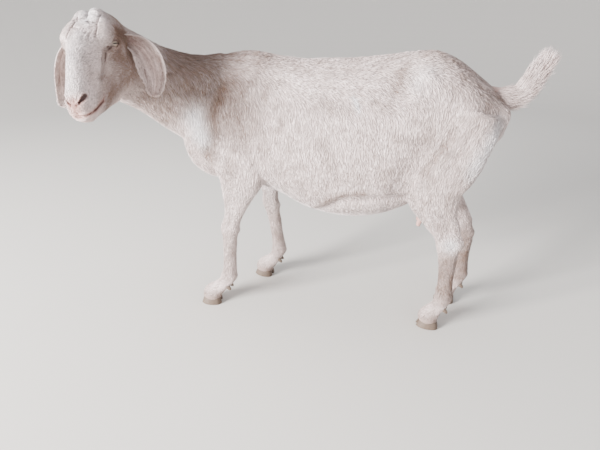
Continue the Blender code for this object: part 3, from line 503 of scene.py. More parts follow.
# Lines of the face, read by its shape and by its markings
nostrilLine = [(0.2475, -0.0365, 0.0050), (0.2400, -0.0320, 0.0150), (0.2310, -0.0285, 0.0225)]
mouthLine = [(0.176, -0.084, 0.030), (0.184, -0.087, 0.026), (0.202, -0.081, 0.025), (0.233, -0.068, 0.026),
             (0.250, -0.062, 0.018), (0.257, -0.061, 0.008), (0.258, -0.062, 0.0)]
budCleft = [(-0.016, 0.000, 0.0065), (0.010, 0.016, 0.0065), (0.027, 0.018, 0.0085)]
budFold = {  # under each bud; the left one reaches further down the forehead
    -1: [(0.040, 0.016, -0.003), (0.049, 0.017, -0.012), (0.045, 0.016, -0.027)],
    1: [(0.026, 0.018, 0.008), (0.031, 0.018, 0.020), (0.029, 0.016, 0.033)],
}
furrow = [(0.020, 0.012, 0.026), (0.036, 0.014, 0.027), (0.052, 0.015, 0.0275), (0.068, 0.015, 0.031),
          (0.095, 0.013, 0.032)]
sideFurrow = [(0.058, 0.016, 0.028), (0.061, 0.017, 0.020), (0.070, 0.019, 0.012)]
tearLine = [(0.094, -0.016, 0.0530), (0.1055, -0.014, 0.045), (0.122, -0.029, 0.040), (0.137, -0.040, 0.0355),
            (0.150, -0.052, 0.033)]
lowerLip = [(u - 0.004, v - 0.010, w) for u, v, w in mouthLine[1:]]

# Fine creases of the head, laid along its surface
creasesMiddle = [
    (budCleft, 0.0036, -0.0085),
    ([(0.236, -0.024, 0), (0.256, -0.056, 0)], 0.0030, -0.0016),  # groove between the nostrils
    (budFold[-1], 0.0032, -0.0060),
    (budFold[1], 0.0032, -0.0060),
]
creasesSides = [
    (mouthLine, 0.0080, 0.0016),
    (mouthLine, 0.0022, -0.0060),
    (lowerLip, 0.0060, 0.0014),
    (nostrilLine, 0.0080, 0.0024),
    ([(0.039, 0.014, 0.028), (0.068, 0.015, 0.031), (0.095, 0.013, 0.032)], 0.0060, 0.0016),
    (furrow, 0.0022, -0.0048),
    (sideFurrow, 0.0020, -0.0036),
    ([(0.084, 0.019, 0.014), (0.110, 0.020, 0.010)], 0.0020, -0.0020),
    ([(0.076, 0.019, 0.023), (0.104, 0.019, 0.021)], 0.0020, -0.0020),
    ([(0.060, 0.019, 0.004), (0.086, 0.020, 0.003)], 0.0020, -0.0016),
    (tearLine, 0.0030, -0.0042),
    ([(0.092, -0.026, 0.0560), (0.112, -0.030, 0.046), (0.128, -0.044, 0.040)], 0.0050, 0.0016),
    # folds round the eye
    ([(0.048, -0.030, 0.064), (0.060, -0.007, 0.060), (0.078, -0.002, 0.055), (0.092, -0.006, 0.050)], 0.0022, -0.0024),
    ([(0.056, -0.042, 0.064), (0.074, -0.042, 0.062), (0.090, -0.034, 0.056)], 0.0024, -0.0018),
    ([(0.036, -0.020, 0.062), (0.044, -0.044, 0.065), (0.048, -0.070, 0.064)], 0.0040, -0.0020),
    ([(0.150, -0.060, 0.034), (0.168, -0.070, 0.032), (0.176, -0.090, 0.030)], 0.0040, -0.0016),
]


skinMake = {
    "zoom": 3.4,  # the head is worked this much larger, so that its forms stay crisp
    "reach": 0.20,
    "centre": np.array((-0.575, -0.285, 0.745)),
    "voxel": 0.0056,
    "rounds": 36,
    "triangles": 190000,
    "legsBelow": 0.34,  # legs are evened less than the trunk
    "legsShare": 0.25,
    "bodyDepth": 0.0022,  # depth of the coat over the skin
    "headDepth": 0.0008,
    "footDepth": 0.0010,
    "footFrom": (0.34, 0.12),  # height where the feet's short coat starts, and how far down it takes to be whole
    "lumps": [(0.0016, 0.0085, 0.0), (0.0008, 0.0040, 7.0)],  # height, size and seed of the poll's uneven scars
    "nap": (0.0009, 0.010, 3.0),  # the same for the face
}


# The head enlarged about its middle, and the rest pushed out by as much, and the way back
def zoomIn(points):
    offset = points - skinMake["centre"]
    far = np.linalg.norm(offset, axis=1, keepdims=True)
    zoom, reach = skinMake["zoom"], skinMake["reach"]
    return skinMake["centre"] + offset * np.where(far < reach, zoom, 1 + (zoom - 1) * reach / np.maximum(far, 1e-9))


def zoomOut(points):
    offset = points - skinMake["centre"]
    far = np.linalg.norm(offset, axis=1, keepdims=True)
    zoom, reach = skinMake["zoom"], skinMake["reach"]
    back = np.where(far < zoom * reach, 1 / zoom, (far - (zoom - 1) * reach) / np.maximum(far, 1e-9))
    return skinMake["centre"] + offset * back


# Each round moves a point half way to the middle of its neighbours, then a little further back, which keeps the bulk
def evened(mesh, points, rounds, share):
    flat = np.empty(len(mesh.edges) * 2, np.int32)
    mesh.edges.foreach_get("vertices", flat)
    a, b = flat.reshape(-1, 2).T
    near = np.maximum(np.bincount(flat, minlength=len(points)), 1)[:, None]
    for _ in range(rounds):
        for pull in (0.5, -0.52):
            total = [np.bincount(a, p[b], len(p)) + np.bincount(b, p[a], len(p)) for p in points.T]
            points = points + pull * share * (np.stack(total, 1) / near - points)
    return points


udderShape = {
    "bag": ((0.222, 0, 0.402), (0.058, 0.040, 0.050)),
    "teat": [(0.218, 0.362, 0.017), (0.210, 0.336, 0.0125), (0.204, 0.312, 0.0095), (0.200, 0.294, 0.0070)],
    "apart": 0.021,
}


# A ball: radius times (sin a cos b, sin a sin b, cos a)
def ballRings(centre, radius, down, around):
    a = np.linspace(0, math.pi, down + 2)[1:-1, None]
    b = np.arange(around)[None] * math.tau / around
    ring = np.stack([np.sin(a) * np.cos(b), np.sin(a) * np.sin(b), np.cos(a) + 0 * b], -1)
    return np.array(centre) + ring * np.array(radius)


# 1 on the head, falling to 0 a little way down the neck
def headShare(points):
    far = nearLine(toHead(points), [(0.0, -0.06, 0), (0.10, -0.06, 0), (0.24, -0.06, 0)])[0]
    return np.clip((0.15 - far) / 0.04, 0, 1)


# Boxes of the head that keep finer faces: the least and the greatest place along the face, up it and beside it
fineBoxes = {
    "muzzle": ((0.165, 1), (-0.13, 0.03), (-1, 0.06)),
    "eyes": ((0.040, 0.108), (-0.056, 0.012), (0.036, 1)),
    "buds": ((-0.024, 0.036), (-0.02, 1), (-1, 0.036)),
}


# Cuts the faces in those boxes into four
def refined(mesh):
    local = toHead(placesOf(mesh))
    local[:, 2] = np.abs(local[:, 2])
    near = np.zeros(len(local), bool)
    for box in fineBoxes.values():
        low, high = np.array(box).T
        near |= ((local > low) & (local < high)).all(1)
    near &= headShare(placesOf(mesh)) > 0.5
    work = bmesh.new()
    work.from_mesh(mesh)
    work.verts.ensure_lookup_table()
    edges = [e for e in work.edges if near[e.verts[0].index] and near[e.verts[1].index]]
    bmesh.ops.subdivide_edges(work, edges=edges, cuts=1, use_grid_fill=True)
    work.to_mesh(mesh)
    work.free()


# Small lumps: noise at a point, one size of lump in metres
def lumps(points, size, seed=0.0):
    scaled = points / size + seed
    return np.array([noise.noise(p) for p in scaled.tolist()])


# The solids of the flesh, fused and evened
def fusedFlesh():
    solids = [tube(trunkRings()), tube(neckRings()), tube(headRings()), tube(ballRings(*udderShape["bag"], 20, 32))]
    for name in legShape["feet"]:
        solids.append(tube(limbRings(*legLine(name), legShape["around"])))
    for side in (-1, 1):
        x, z, r = flow(udderShape["teat"], 16).T
        middles = np.stack([x, 0 * x + side * udderShape["apart"], z], 1)
        solids.append(tube(limbRings(middles, r, r, 20)))
    rough = solidsToObject("rough", solids)
    moveTo(rough.data, zoomIn(placesOf(rough.data)))
    fuse = rough.modifiers.new("fuse", "REMESH")
    fuse.mode, fuse.voxel_size = "VOXEL", skinMake["voxel"]
    mesh = madeMesh(rough)
    bpy.data.objects.remove(rough, do_unlink=True)
    points = zoomOut(placesOf(mesh))
    onTrunk = points[:, 2:3] > skinMake["legsBelow"]
    moveTo(mesh, evened(mesh, points, skinMake["rounds"], np.where(onTrunk, 1.0, skinMake["legsShare"])))
    refined(mesh)
    return mesh


def makeSkin():
    mesh = fusedFlesh()
    points = placesOf(mesh)
    points = evened(mesh, points, 3, headShare(points)[:, None])
    moveTo(mesh, points)
    height = relief(points, bodyForms()) + relief(toHead(points), headForms())
    points = shapeEyes(points + normalsOf(mesh) * height[:, None])
    moveTo(mesh, points)
    ups = normalsOf(mesh)
    local, onFace = toHead(points), headShare(points)
    height = creases(local, ups @ headAxes.T, creasesMiddle + bothSides(creasesSides, 2))
    onPoll = np.clip(1.6 - np.hypot((local[:, 0] - 0.012) / 0.040, local[:, 2] / 0.040), 0, 1) * (local[:, 1] > -0.03)
    i = np.flatnonzero(onPoll > 0)
    height[i] += onPoll[i] * sum(high * lumps(local[i], size, seed) for high, size, seed in skinMake["lumps"])
    i = np.flatnonzero(onFace > 0.5)
    high, size, seed = skinMake["nap"]
    height[i] += high * lumps(local[i], size, seed)
    points = openNostrils(points + ups * height[:, None])
    start, fade = skinMake["footFrom"]
    onFoot = np.clip((start - points[:, 2]) / fade, 0, 1)
    depth = skinMake["bodyDepth"] + onFace * (skinMake["headDepth"] - skinMake["bodyDepth"])
    depth = depth + onFoot * (skinMake["footDepth"] - depth)
    return thinned(mesh, points - ups * depth[:, None])


nostrils = {"deep": 0.0095, "wide": (0.0021, 0.0032), "reach": 0.03}  # width at the inner end, and how much it grows


def nostrilInward(side):
    return unit(np.array((-0.62, -0.40, -0.42 * side)))


# A nostril's pit: the skin near its line goes back into the muzzle by deep * exp(-(distance/width)^4), widest towards
# its outer end
def openNostrils(points):
    local = toHead(points)
    for side in (-1, 1):
        line = onSide(nostrilLine, side, 2)
        i = np.flatnonzero(np.linalg.norm(local - line[1], axis=1) < nostrils["reach"])
        inward = nostrilInward(side)
        _, where, beside = besideLine(local[i], inward, line)
        width = nostrils["wide"][0] + nostrils["wide"][1] * ramp(where, 0, 1)
        local[i] += inward * (nostrils["deep"] * bell(beside, width, 4))[:, None]
    return fromHead(local)


# Fewer triangles where the surface is plain, counted with the head enlarged so that it keeps more
def thinned(mesh, points):
    moveTo(mesh, zoomIn(points))
    obj = objectOf("thin", mesh)
    obj.modifiers.new("triangles", "TRIANGULATE")
    obj.data = madeMesh(obj)
    obj.modifiers.clear()
    obj.modifiers.new("thin", "DECIMATE").ratio = min(1.0, skinMake["triangles"] / len(obj.data.polygons))
    mesh = madeMesh(obj)
    bpy.data.objects.remove(obj, do_unlink=True)
    mesh.polygons.foreach_set("use_smooth", np.ones(len(mesh.polygons), bool))
    moveTo(mesh, zoomOut(placesOf(mesh)) + shift)
    mesh.name = "skin"
    return mesh


eyeShape = {
    "place": (0.0705, -0.0225, 0.0478),  # in the head's frame
    "gaze": (0.42, 0.06, 0.91),
    "radius": 0.0135,
    "bulge": (0.05, 0.75),  # of the cornea: share of the radius, and its spread as an angle
    "long": 0.0136,  # half the opening, from the inner corner to the outer
    "tall": 0.0058,
    "tilt": 0.08,
    "lid": 0.0016,  # thickness of the lids over the globe
    "lidReach": 0.0155,  # beyond this the skin is its own again
    "lidFade": 0.006,
    "socket": 0.45,  # how deep the skin sinks behind the opening, as a share of the radius
}


# Where an eye is, the way it looks, the level way to its outer corner and the way up across it
def eyeAxes(side):
    centre = fromHead(onSide(eyeShape["place"], side, 2))[0]
    way = unit(np.array(onSide(eyeShape["gaze"], side, 2)[0]) @ headAxes)
    across = unit(np.cross((0, 0, 1.0), way)) * side
    upright = np.cross(way, across)
    return centre, way, across, upright * np.sign(upright[2])


# Lids lie on a ball a little larger than the globe: outside the almond the skin is drawn onto it, inside it sinks away
def shapeEyes(points):
    for side in (-1, 1):
        centre, way, across, upright = eyeAxes(side)
        offset = points - centre
        a, b, c = offset @ across, offset @ upright, offset @ way
        flat = np.sqrt(a**2 + b**2)
        ballR = eyeShape["radius"] + eyeShape["lid"]
        lid = np.sqrt(np.maximum(ballR**2 - np.minimum(flat, ballR * 0.80) ** 2, 0))
        rim = (a / eyeShape["long"]) ** 2 + ((b - eyeShape["tilt"] * a) / eyeShape["tall"]) ** 2
        onLid = ramp(eyeShape["lidReach"] - flat, 0, eyeShape["lidFade"])
        target = c + onLid * (np.maximum(lid, c - 0.003) - c)
        target = np.where(rim < 1.0, eyeShape["radius"] * eyeShape["socket"], target)
        near = (c > 0) & (np.linalg.norm(offset, axis=1) < 0.026)
        points = points + way * ((target - c) * near)[:, None]
    return points


# The goat's own places are moved by this much into the frame of the CAD, read from where an eye is in both
low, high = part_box("eye_left")
shift = (np.array(low) + np.array(high)) / 2 - eyeAxes(-1)[0]
skin = objectOf("skin", makeSkin())
skinTree = BVHTree.FromObject(skin, bpy.context.evaluated_depsgraph_get())
print("skin", len(skin.data.polygons), "triangles")


# Regions of the coat: the line each grows round, its bulk, and its cell on the coat's unwrap, which is given by left,
# bottom, width and height
def coatRegions():
    trunkLine = [(-0.46, 0, 0.52), (-0.30, 0, 0.57), (0.0, 0, 0.54), (0.20, 0, 0.59), (0.37, 0, 0.61)]
    neck = flow(neckShape["rows"], 9)[::-1, :3]
    face = flow(headShape["rows"], 9)[::-1]
    headLine = fromHead(np.stack([face[:, 0], (face[:, 1] + face[:, 2]) / 2, 0 * face[:, 0]], 1))
    regions = {
        "trunk": (np.array(trunkLine), 0.145, (0.0, 0.0, 0.5, 0.62)),
        "neck": (neck[:7], 0.095, (0.5, 0.0, 0.28, 0.30)),
        "head": (headLine, 0.062, (0.5, 0.32, 0.5, 0.30)),
    }
    for i, name in enumerate(legShape["feet"]):
        regions["leg_" + name] = (legLine(name)[0][::6], 0.062, (0.25 * i, 0.64, 0.24, 0.34))
    return {name: (line + shift, bulk, cell) for name, (line, bulk, cell) in regions.items()}


regions = coatRegions()


# The lie of the coat. On trunk and neck it goes back along the top line, then turns down the sides, and forward over
# the thigh; head and legs follow their own lines. Each region counts by (bulk / distance)^4, and the sum is laid flat
# on the skin. Also the place on the unwrap: round the line and along it, in the cell of the region that counts most
def lieOfCoat(points, ups):
    own = points - shift
    back = ramp(ups[:, 2], 0.30, 0.95)[:, None]
    under = ramp(-ups[:, 2], 0.45, 0.95)[:, None]
    onThigh = (ramp(own[:, 0], 0.17, 0.26) * ramp(own[:, 2], 0.42, 0.50) * ramp(-own[:, 2], -0.71, -0.63))[:, None]
    down = np.array((0.16, 0, -1.0)) - onThigh * np.array((0.62, 0, 0.0))
    slant = ramp(own[:, 2], 0.60, 0.74)[:, None] * np.array((0.55, 0, 0))
    side = down + slant * (1 - onThigh)
    body = side * (1 - back) * (1 - under) + np.array((1.0, 0, -0.12)) * back + np.array((1.0, 0, 0)) * under
    total, best, cellOf = np.zeros_like(points), np.zeros(len(points)), np.zeros((len(points), 2))
    for name, (line, bulk, (left, bottom, wide, tall)) in regions.items():
        far, where, spot = nearLine(points, line)
        slope = unit(np.gradient(line, axis=0))
        place = where * (len(line) - 1)
        i = np.clip(place.astype(int), 0, len(line) - 2)
        f = (place - i)[:, None]
        way = slope[i] * (1 - f) + slope[i + 1] * f
        weight = (bulk / np.maximum(far, 0.004)) ** 4
        total += (body if name in ("trunk", "neck") else way) * weight[:, None]
        side = unit(np.cross(way, (0.2, 0.3, 1.0)))
        turn = np.arctan2(((points - spot) * side).sum(1), ((points - spot) * np.cross(side, way)).sum(1))
        share = 0.02 + 0.96 * np.stack([turn / math.tau + 0.5, where], 1)  # leaves a margin round the cell
        cell = np.array((left, bottom)) + np.array((wide, tall)) * share
        closer = weight > best
        cellOf[closer] = cell[closer]
        best = np.maximum(best, weight)
    return flatOn(total, ups), cellOf


# Markings, read the same way by the skin and the coat: each is a line in the goat's own places, a spread and a
# strength. Some are painted shade or painted light, as noted at each
markings = {
    "brown": [
        ([(-0.42, -0.02, 0.67), (-0.50, -0.06, 0.70), (-0.58, -0.14, 0.75)], 0.095, 0.88),  # neck: brown hair, darkened further as painted shade
        ([(-0.34, 0, 0.755), (-0.24, -0.04, 0.745)], 0.050, 0.46),  # withers
        ([(-0.40, 0, 0.74), (-0.46, -0.04, 0.74)], 0.060, 0.60),
        ([(-0.55, -0.15, 0.67), (-0.50, -0.12, 0.62)], 0.050, 0.50),
        ([(-0.337, -0.088, 0.679), (-0.354, -0.113, 0.619), (-0.362, -0.119, 0.567), (-0.384, -0.108, 0.502)],
         0.025, 0.80),  # painted shade in the groove before the shoulder, stronger on her left
        # the same painted shade before her right shoulder, weaker
        ([(-0.337, 0.088, 0.679), (-0.354, 0.113, 0.619), (-0.384, 0.108, 0.502)], 0.018, 0.40),
        # painted shade in the hollow behind the shoulder blade
        ([(-0.217, -0.102, 0.682), (-0.222, -0.108, 0.664)], 0.011, 0.55),
        # painted shade in a small dent before the elbow
        ([(-0.313, -0.139, 0.482), (-0.318, -0.136, 0.462)], 0.014, 0.40),
        ([(-0.088, -0.111, 0.370), (-0.035, -0.157, 0.419), (0.005, -0.167, 0.441), (0.050, -0.166, 0.447)],
         0.009, 0.75),  # under the belly's fold
        ([(0.050, -0.166, 0.447), (0.150, -0.124, 0.440)], 0.009, 0.20),
        ([(0.20, 0, 0.76), (0.28, 0, 0.73), (0.34, 0, 0.68)], 0.055, 0.42),  # croup
        ([(-0.245, -0.110, 0.425)], 0.022, 0.45),  # behind the elbow
        ([(-0.10, 0, 0.72), (0.16, 0, 0.75)], 0.070, 0.14),  # along the spine
        ([(0.355, 0, 0.66), (0.37, 0, 0.62)], 0.030, 0.45),  # under the tail
    ] + bothSides([
        ([(0.24, 0.06, 0.73), (0.33, 0.07, 0.66)], 0.050, 0.34),  # rump
        ([(-0.31, 0.10, 0.69), (-0.28, 0.12, 0.60)], 0.060, 0.56),  # shoulder: brown, partly painted shade
        ([(0.118, 0.060, 0.744), (0.109, 0.084, 0.706), (0.093, 0.105, 0.680)], 0.012, 0.55),  # painted shade in the groove before the hip
        ([(0.253, 0.129, 0.606), (0.220, 0.139, 0.543), (0.193, 0.140, 0.495)], 0.010, 0.60),  # painted shade in the fold of the thigh
        ([(0.24, 0.13, 0.56), (0.28, 0.12, 0.46)], 0.075, 0.16),  # thigh
    ], 1),
    "pink": [
        ([(0.222, 0, 0.39), (0.205, 0, 0.30)], 0.060, 1.0),  # udder
        ([(0.10, -0.02, 0.33), (0.18, 0, 0.36)], 0.050, 0.35),
    ],
    "cool": [
        ([(-0.22, 0, 0.38), (-0.05, 0, 0.33), (0.10, 0, 0.34)], 0.095, 0.85),  # belly: whiter hair with a painted cool cast of light bounced onto the underside
        ([(0.353, -0.078, 0.610), (0.335, -0.110, 0.560), (0.31, -0.115, 0.51)], 0.024, 0.75),  # buttock
        ([(0.285, -0.104, 0.290)], 0.020, 0.85),  # hock
        ([(0.353, 0.078, 0.598), (0.335, 0.110, 0.560)], 0.030, 0.60),
        # painted highlight on her left hook bone
        ([(0.159, -0.095, 0.719)], 0.035, 0.35),
        ([(0.006, -0.125, 0.670), (0.021, -0.140, 0.648)], 0.0060, 1.0),  # white tuft of an old scar
        # painted highlight on the point of her left shoulder
        ([(-0.417, -0.096, 0.599), (-0.401, -0.112, 0.549)], 0.030, 0.80),
    ],
}
cannons = {  # lowest and highest place of the brown on each leg, and its strength
    "hind_left": (0.10, 0.235, 0.92),
    "hind_right": (0.10, 0.250, 0.95),
    "front_left": (0.11, 0.240, 0.40),
    "front_right": (0.11, 0.300, 0.50),
}
for name, (low, high, strength) in cannons.items():
    line = legLine(name)[0]
    markings["brown"].append((line[(line[:, 2] > low) & (line[:, 2] < high)][::4], 0.036, strength))
headMarkings = {
    "brown": [
        ([(-0.030, -0.020, 0), (-0.070, -0.050, 0), (-0.070, -0.090, 0)], 0.058, 0.80),  # nape
    ] + bothSides([
        ([(0.068, -0.022, 0.064), (0.030, -0.016, 0.060), (0.008, -0.044, 0.062)], 0.023, 0.95),  # behind the eye: brown hair, partly painted shade
        ([(0.034, -0.010, 0.060), (0.036, -0.060, 0.062), (0.030, -0.100, 0.060)], 0.012, 0.75),  # before the ear
        ([(0.095, -0.040, 0.058), (0.070, -0.070, 0.062), (0.030, -0.080, 0.060)], 0.031, 0.78),  # below it: brown, partly painted shade on the cheek
        ([(-0.020, -0.020, 0.040), (-0.030, -0.060, 0.050)], 0.026, 0.55),
        ([(0.040, -0.130, 0.050), (0.090, -0.120, 0.048), (0.150, -0.110, 0.030)], 0.040, 0.76),  # cheek and jaw: brown, partly painted shade
        ([(0.150, -0.060, 0.036), (0.200, -0.070, 0.028)], 0.018, 0.34),  # beside the mouth
        ([(0.094, -0.018, 0.053), (0.105, -0.018, 0.047), (0.122, -0.031, 0.041), (0.150, -0.054, 0.034)],
         0.006, 0.85),  # brown along the tear groove
    ], 2),
    "pink": [
        ([(0.244, -0.036, 0.0), (0.256, -0.050, 0.0)], 0.013, 0.80),  # between the nostrils
        ([(0.246, -0.078, 0.0)], 0.010, 0.45),
    ] + bothSides([
        ([(0.2475, -0.0365, 0.006), (0.2400, -0.0320, 0.015), (0.2310, -0.0285, 0.0225)], 0.0055, 0.85),
        (mouthLine, 0.0055, 0.85),
    ], 2),
    "cool": [
        ([(0.00, 0.015, 0.006), (0.03, 0.02, 0.0)], 0.030, 0.75),  # horn buds
        # painted highlight along the bridge of the nose
        ([(0.10, 0.02, 0.006), (0.18, 0.01, 0.006), (0.22, -0.01, 0.004)], 0.024, 0.45),
    ],
}
# Painted shade in the deep lines: the slit of the mouth, the nostrils, and the furrows of the brow
headShades = [(budCleft, 0.0030, 0.50), (budFold[-1], 0.0042, 0.95), (budFold[1], 0.0042, 0.95)] + bothSides([
    (mouthLine, 0.0028, 0.95),
    (mouthLine[:4], 0.0048, 0.92),
    (nostrilLine, 0.0032, 1.0),
    (furrow[:4], 0.0026, 0.80),
    (furrow[3:], 0.0024, 0.60),
    (sideFurrow, 0.0023, 0.65),
    ([(0.088, -0.020, 0.0540), (0.105, -0.016, 0.046), (0.122, -0.029, 0.040)], 0.0040, 0.92),
    (tearLine[2:], 0.0034, 0.65),
], 2)
footDust = {"strength": 0.65, "from": 0.075, "to": 0.030}  # brown of the floor's dust, full at the lower height
pitShade = {"deep": 0.0085, "spread": 0.0086, "strength": 0.95}  # painted shade inside the nostrils


# Strength of each marking from 0 to 1, as 1 minus the product of (1 - strength * exp(-(distance/spread)^2)) over its
# lines
def marksAt(points):
    own = points - shift
    onHead = headShare(own)
    marks = []
    for kind in ("brown", "pink", "cool"):
        clear = np.ones(len(points))
        for places, lines, share in ((own, markings, 1 - onHead), (toHead(own), headMarkings, onHead)):
            for line, spread, strength in lines[kind]:
                clear *= 1 - strength * bell(nearLine(places, line)[0], spread) * share
        if kind == "brown":
            clear *= 1 - footDust["strength"] * ramp(-own[:, 2], -footDust["from"], -footDust["to"])
        marks.append(1 - clear)
    return np.stack(marks, 1)


# Painted shade of the deep lines: strength * exp(-(distance along the surface / spread)^2)
def shadeAt(points, ups):
    own = points - shift
    shade = np.zeros(len(points))
    i = np.flatnonzero(headShare(own) > 0)
    local, turned = toHead(own)[i], (ups @ headAxes.T)[i]
    for line, spread, strength in headShades:
        far, _, beside = besideLine(local, turned, line)
        near = np.clip(3 - 3 * far / 0.020, 0, 1)
        shade[i] = np.maximum(shade[i], strength * near * bell(beside, spread))
    for side in (-1, 1):
        pit = np.array(onSide(nostrilLine, side, 2)) + pitShade["deep"] * nostrilInward(side)
        dark = pitShade["strength"] * bell(nearLine(local, pit)[0], pitShade["spread"], 4)
        shade[i] = np.maximum(shade[i], dark)
    return np.minimum(shade, 1)


# The markings and the tone of a mesh, kept as a colour with its alpha, and the way its hair lies
def dress(mesh, marks, tone, ways=None):
    layer = mesh.attributes.new("marks", "FLOAT_COLOR", "POINT")
    layer.data.foreach_set("color", np.column_stack([marks, np.clip(tone, 0, 1)]).astype(np.float32).ravel())
    if ways is not None:
        layer = mesh.attributes.new("lie", "FLOAT_VECTOR", "POINT")
        layer.data.foreach_set("vector", ways.astype(np.float32).ravel())


# The hide's tone stays low: painted shade under the coat's hair; on the head it is higher by headMore
skinTone = {"body": 0.46, "headMore": 0.16}


def dressSkin():
    points, ups = placesOf(skin.data), normalsOf(skin.data)
    tone = skinTone["body"] + skinTone["headMore"] * headShare(points - shift)
    # the painted shade of the deep lines darkens the hide
    dress(skin.data, marksAt(points), tone * (1 - shadeAt(points, ups)), lieOfCoat(points, ups)[0])


dressSkin()
print("markings")


coatMake = {  # for body, head and foot: skin that each tuft covers, in square metres, then its length, width and rise
    "Area": (12.5e-6, 3.3e-6, 9.5e-6),
    "Long": (0.0205, 0.0080, 0.012),
    "Wide": (0.0022, 0.0012, 0.0018),
    "Rise": (0.0019, 0.0009, 0.0009),
    "footFrom": (0.40, 0.16),
    "flat": 0.26,  # thickness of a tuft as a share of its width
    "sunk": 0.0006,  # how far the root starts under the skin
    "pieceTufts": 19000,
    "locks": (0.011, 0.0075),  # breadth of the locks that neighbouring tufts gather into, on body and head
    "patches": 0.0264,
    "stray": 0.12,  # how far a tuft turns from the lie, in radians
    "patchOnUnwrap": 0.003,
}
bareParts = {
    "sole": 0.040,
    "eye": (0.0150, 0.0100, 0.020),  # half length and half height of the bare rim, and its reach
    "bag": (0.055, 0.045, 0.05),
    "teat": (0.207, 0.021, 0.022, 0.37),  # back, out, radius, and the height that it stays under
    "shade": 0.50,  # strongest painted shade of the deep lines that still grows hair
}


# Roots scattered over the skin, each triangle drawn in proportion to its area over the area a tuft covers there
def scatterRoots(mesh):
    mesh.calc_loop_triangles()
    corners = np.empty(len(mesh.loop_triangles) * 3, np.int32)
    mesh.loop_triangles.foreach_get("vertices", corners)
    corners = corners.reshape(-1, 3)
    places, ups = placesOf(mesh), normalsOf(mesh)
    a, b, c = places[corners[:, 0]], places[corners[:, 1]], places[corners[:, 2]]
    area = np.linalg.norm(np.cross(b - a, c - a), axis=1) / 2
    each = area / blend("Area", (a + b + c) / 3)
    count = int(each.sum())
    pick = np.searchsorted(np.cumsum(each) / each.sum(), (np.arange(count) + rng.random(count)) / count)
    pick = np.clip(pick, 0, len(each) - 1)
    f, g = rng.random(count), rng.random(count)
    over = f + g > 1
    f, g = np.where(over, 1 - f, f)[:, None], np.where(over, 1 - g, g)[:, None]
    roots = a[pick] + f * (b - a)[pick] + g * (c - a)[pick]
    n = ups[corners[pick]]
    return roots, unit(n[:, 0] * (1 - f - g) + n[:, 1] * f + n[:, 2] * g)


# A size of the coat at each place, passing smoothly between its values on body, head and feet
def blend(size, points):
    own = points - shift
    body, head, foot = coatMake[size]
    onHead = headShare(own)
    start, fade = coatMake["footFrom"]
    onFoot = np.clip((start - own[:, 2]) / fade, 0, 1)
    value = body * (1 - onHead) + head * onHead
    return value * (1 - onFoot) + foot * onFoot


# Places on the skin nearest to the given ones, with the skin's facing there
def ontoSkin(points):
    found = [skinTree.find_nearest(p)[:2] for p in points.tolist()]
    return np.array([f[0] for f in found]), np.array([f[1] for f in found])


# Tufts: flat three-sided spindles. The middle line is the curve through root, waist and tip,
# B(t) = (1-t)^2 root + 2t(1-t) knee + t^2 tip; the width is (1-t)^0.6 * min(1, 0.6+1.2t) and the thickness with it
def tuftMesh(name, root, knee, tip, up, wide, thick, marks, tone, spot, rings):
    count = len(root)
    t = np.linspace(0, 1, rings + 1)[:-1]
    across = unit(np.cross(tip - root, up))
    points = np.empty((count, rings * 3 + 1, 3))
    for i, s in enumerate(t):
        middle = (1 - s) ** 2 * root + 2 * s * (1 - s) * knee + s**2 * tip
        fat = (1 - s) ** 0.6 * min(1.0, 0.6 + 1.2 * s)
        points[:, i * 3] = middle - across * (wide * fat / 2)[:, None]
        points[:, i * 3 + 1] = middle + across * (wide * fat / 2)[:, None]
        points[:, i * 3 + 2] = middle + up * (thick * fat)[:, None]
    points[:, -1] = tip
    faces = [(0, 2, 1)]
    for i in range(rings - 1):
        for j in range(3):
            p, q = i * 3 + j, i * 3 + (j + 1) % 3
            faces += [(p, q, q + 3), (p, q + 3, p + 3)]
    last = (rings - 1) * 3
    faces += [(last + j, last + (j + 1) % 3, rings * 3) for j in range(3)]
    faces = np.array(faces)[:, ::-1]
    each = rings * 3 + 1
    corners = (faces[None] + np.arange(count)[:, None, None] * each).reshape(-1, 3)
    mesh = meshOf(name, points.reshape(-1, 3), corners)
    # the tone rises from root to tip: painted shade at the root and painted light at the tip
    along = np.append(np.repeat(t, 3), 1.0)
    dress(mesh, np.repeat(marks, each, 0), (tone[:, None] + 0.30 * (along - 0.45)[None]).ravel())
    # each tuft is a small patch on the unwrap, at its root's place
    local = np.zeros((each, 2))
    local[:-1, 0] = np.tile([-0.5, 0.5, 0.0], rings)
    local[:, 1] = along
    uv = (spot[:, None] + local[None] * coatMake["patchOnUnwrap"]).reshape(-1, 2)
    layer = mesh.uv_layers.new(name="OFBake")
    layer.data.foreach_set("uv", uv[corners.ravel()].astype(np.float32).ravel())
    return objectOf(name, mesh)


# Uneven tone of the coat: locks a centimetre across and several long, with smaller ones among them
def clumping(points, ways, size, seed):
    stretched = points - ways * (points * ways).sum(1, keepdims=True) * 0.80
    return 0.6 * lumps(stretched, size, seed) + 0.4 * lumps(stretched, size * 0.4, seed + 5)


# No tuft grows under the band of the claws, on the rims of the eyes, on bag and teats, and in the deep lines
def isBare(own, shades):
    bare = (own[:, 2] <= bareParts["sole"]) | (shades >= bareParts["shade"])
    long, tall, reach = bareParts["eye"]
    for side in (-1, 1):
        centre, _, across, upright = eyeAxes(side)
        offset = own - centre
        rim = np.hypot(offset @ across / long, offset @ upright / tall)
        bare |= (rim <= 1) & (np.linalg.norm(offset, axis=1) <= reach)
    bare |= np.linalg.norm((own - np.array(udderShape["bag"][0])) / bareParts["bag"], axis=1) <= 1
    x, y, radius, top = bareParts["teat"]
    return bare | (own[:, 2] < top) & (np.hypot(own[:, 0] - x, np.abs(own[:, 1]) - y) < radius)


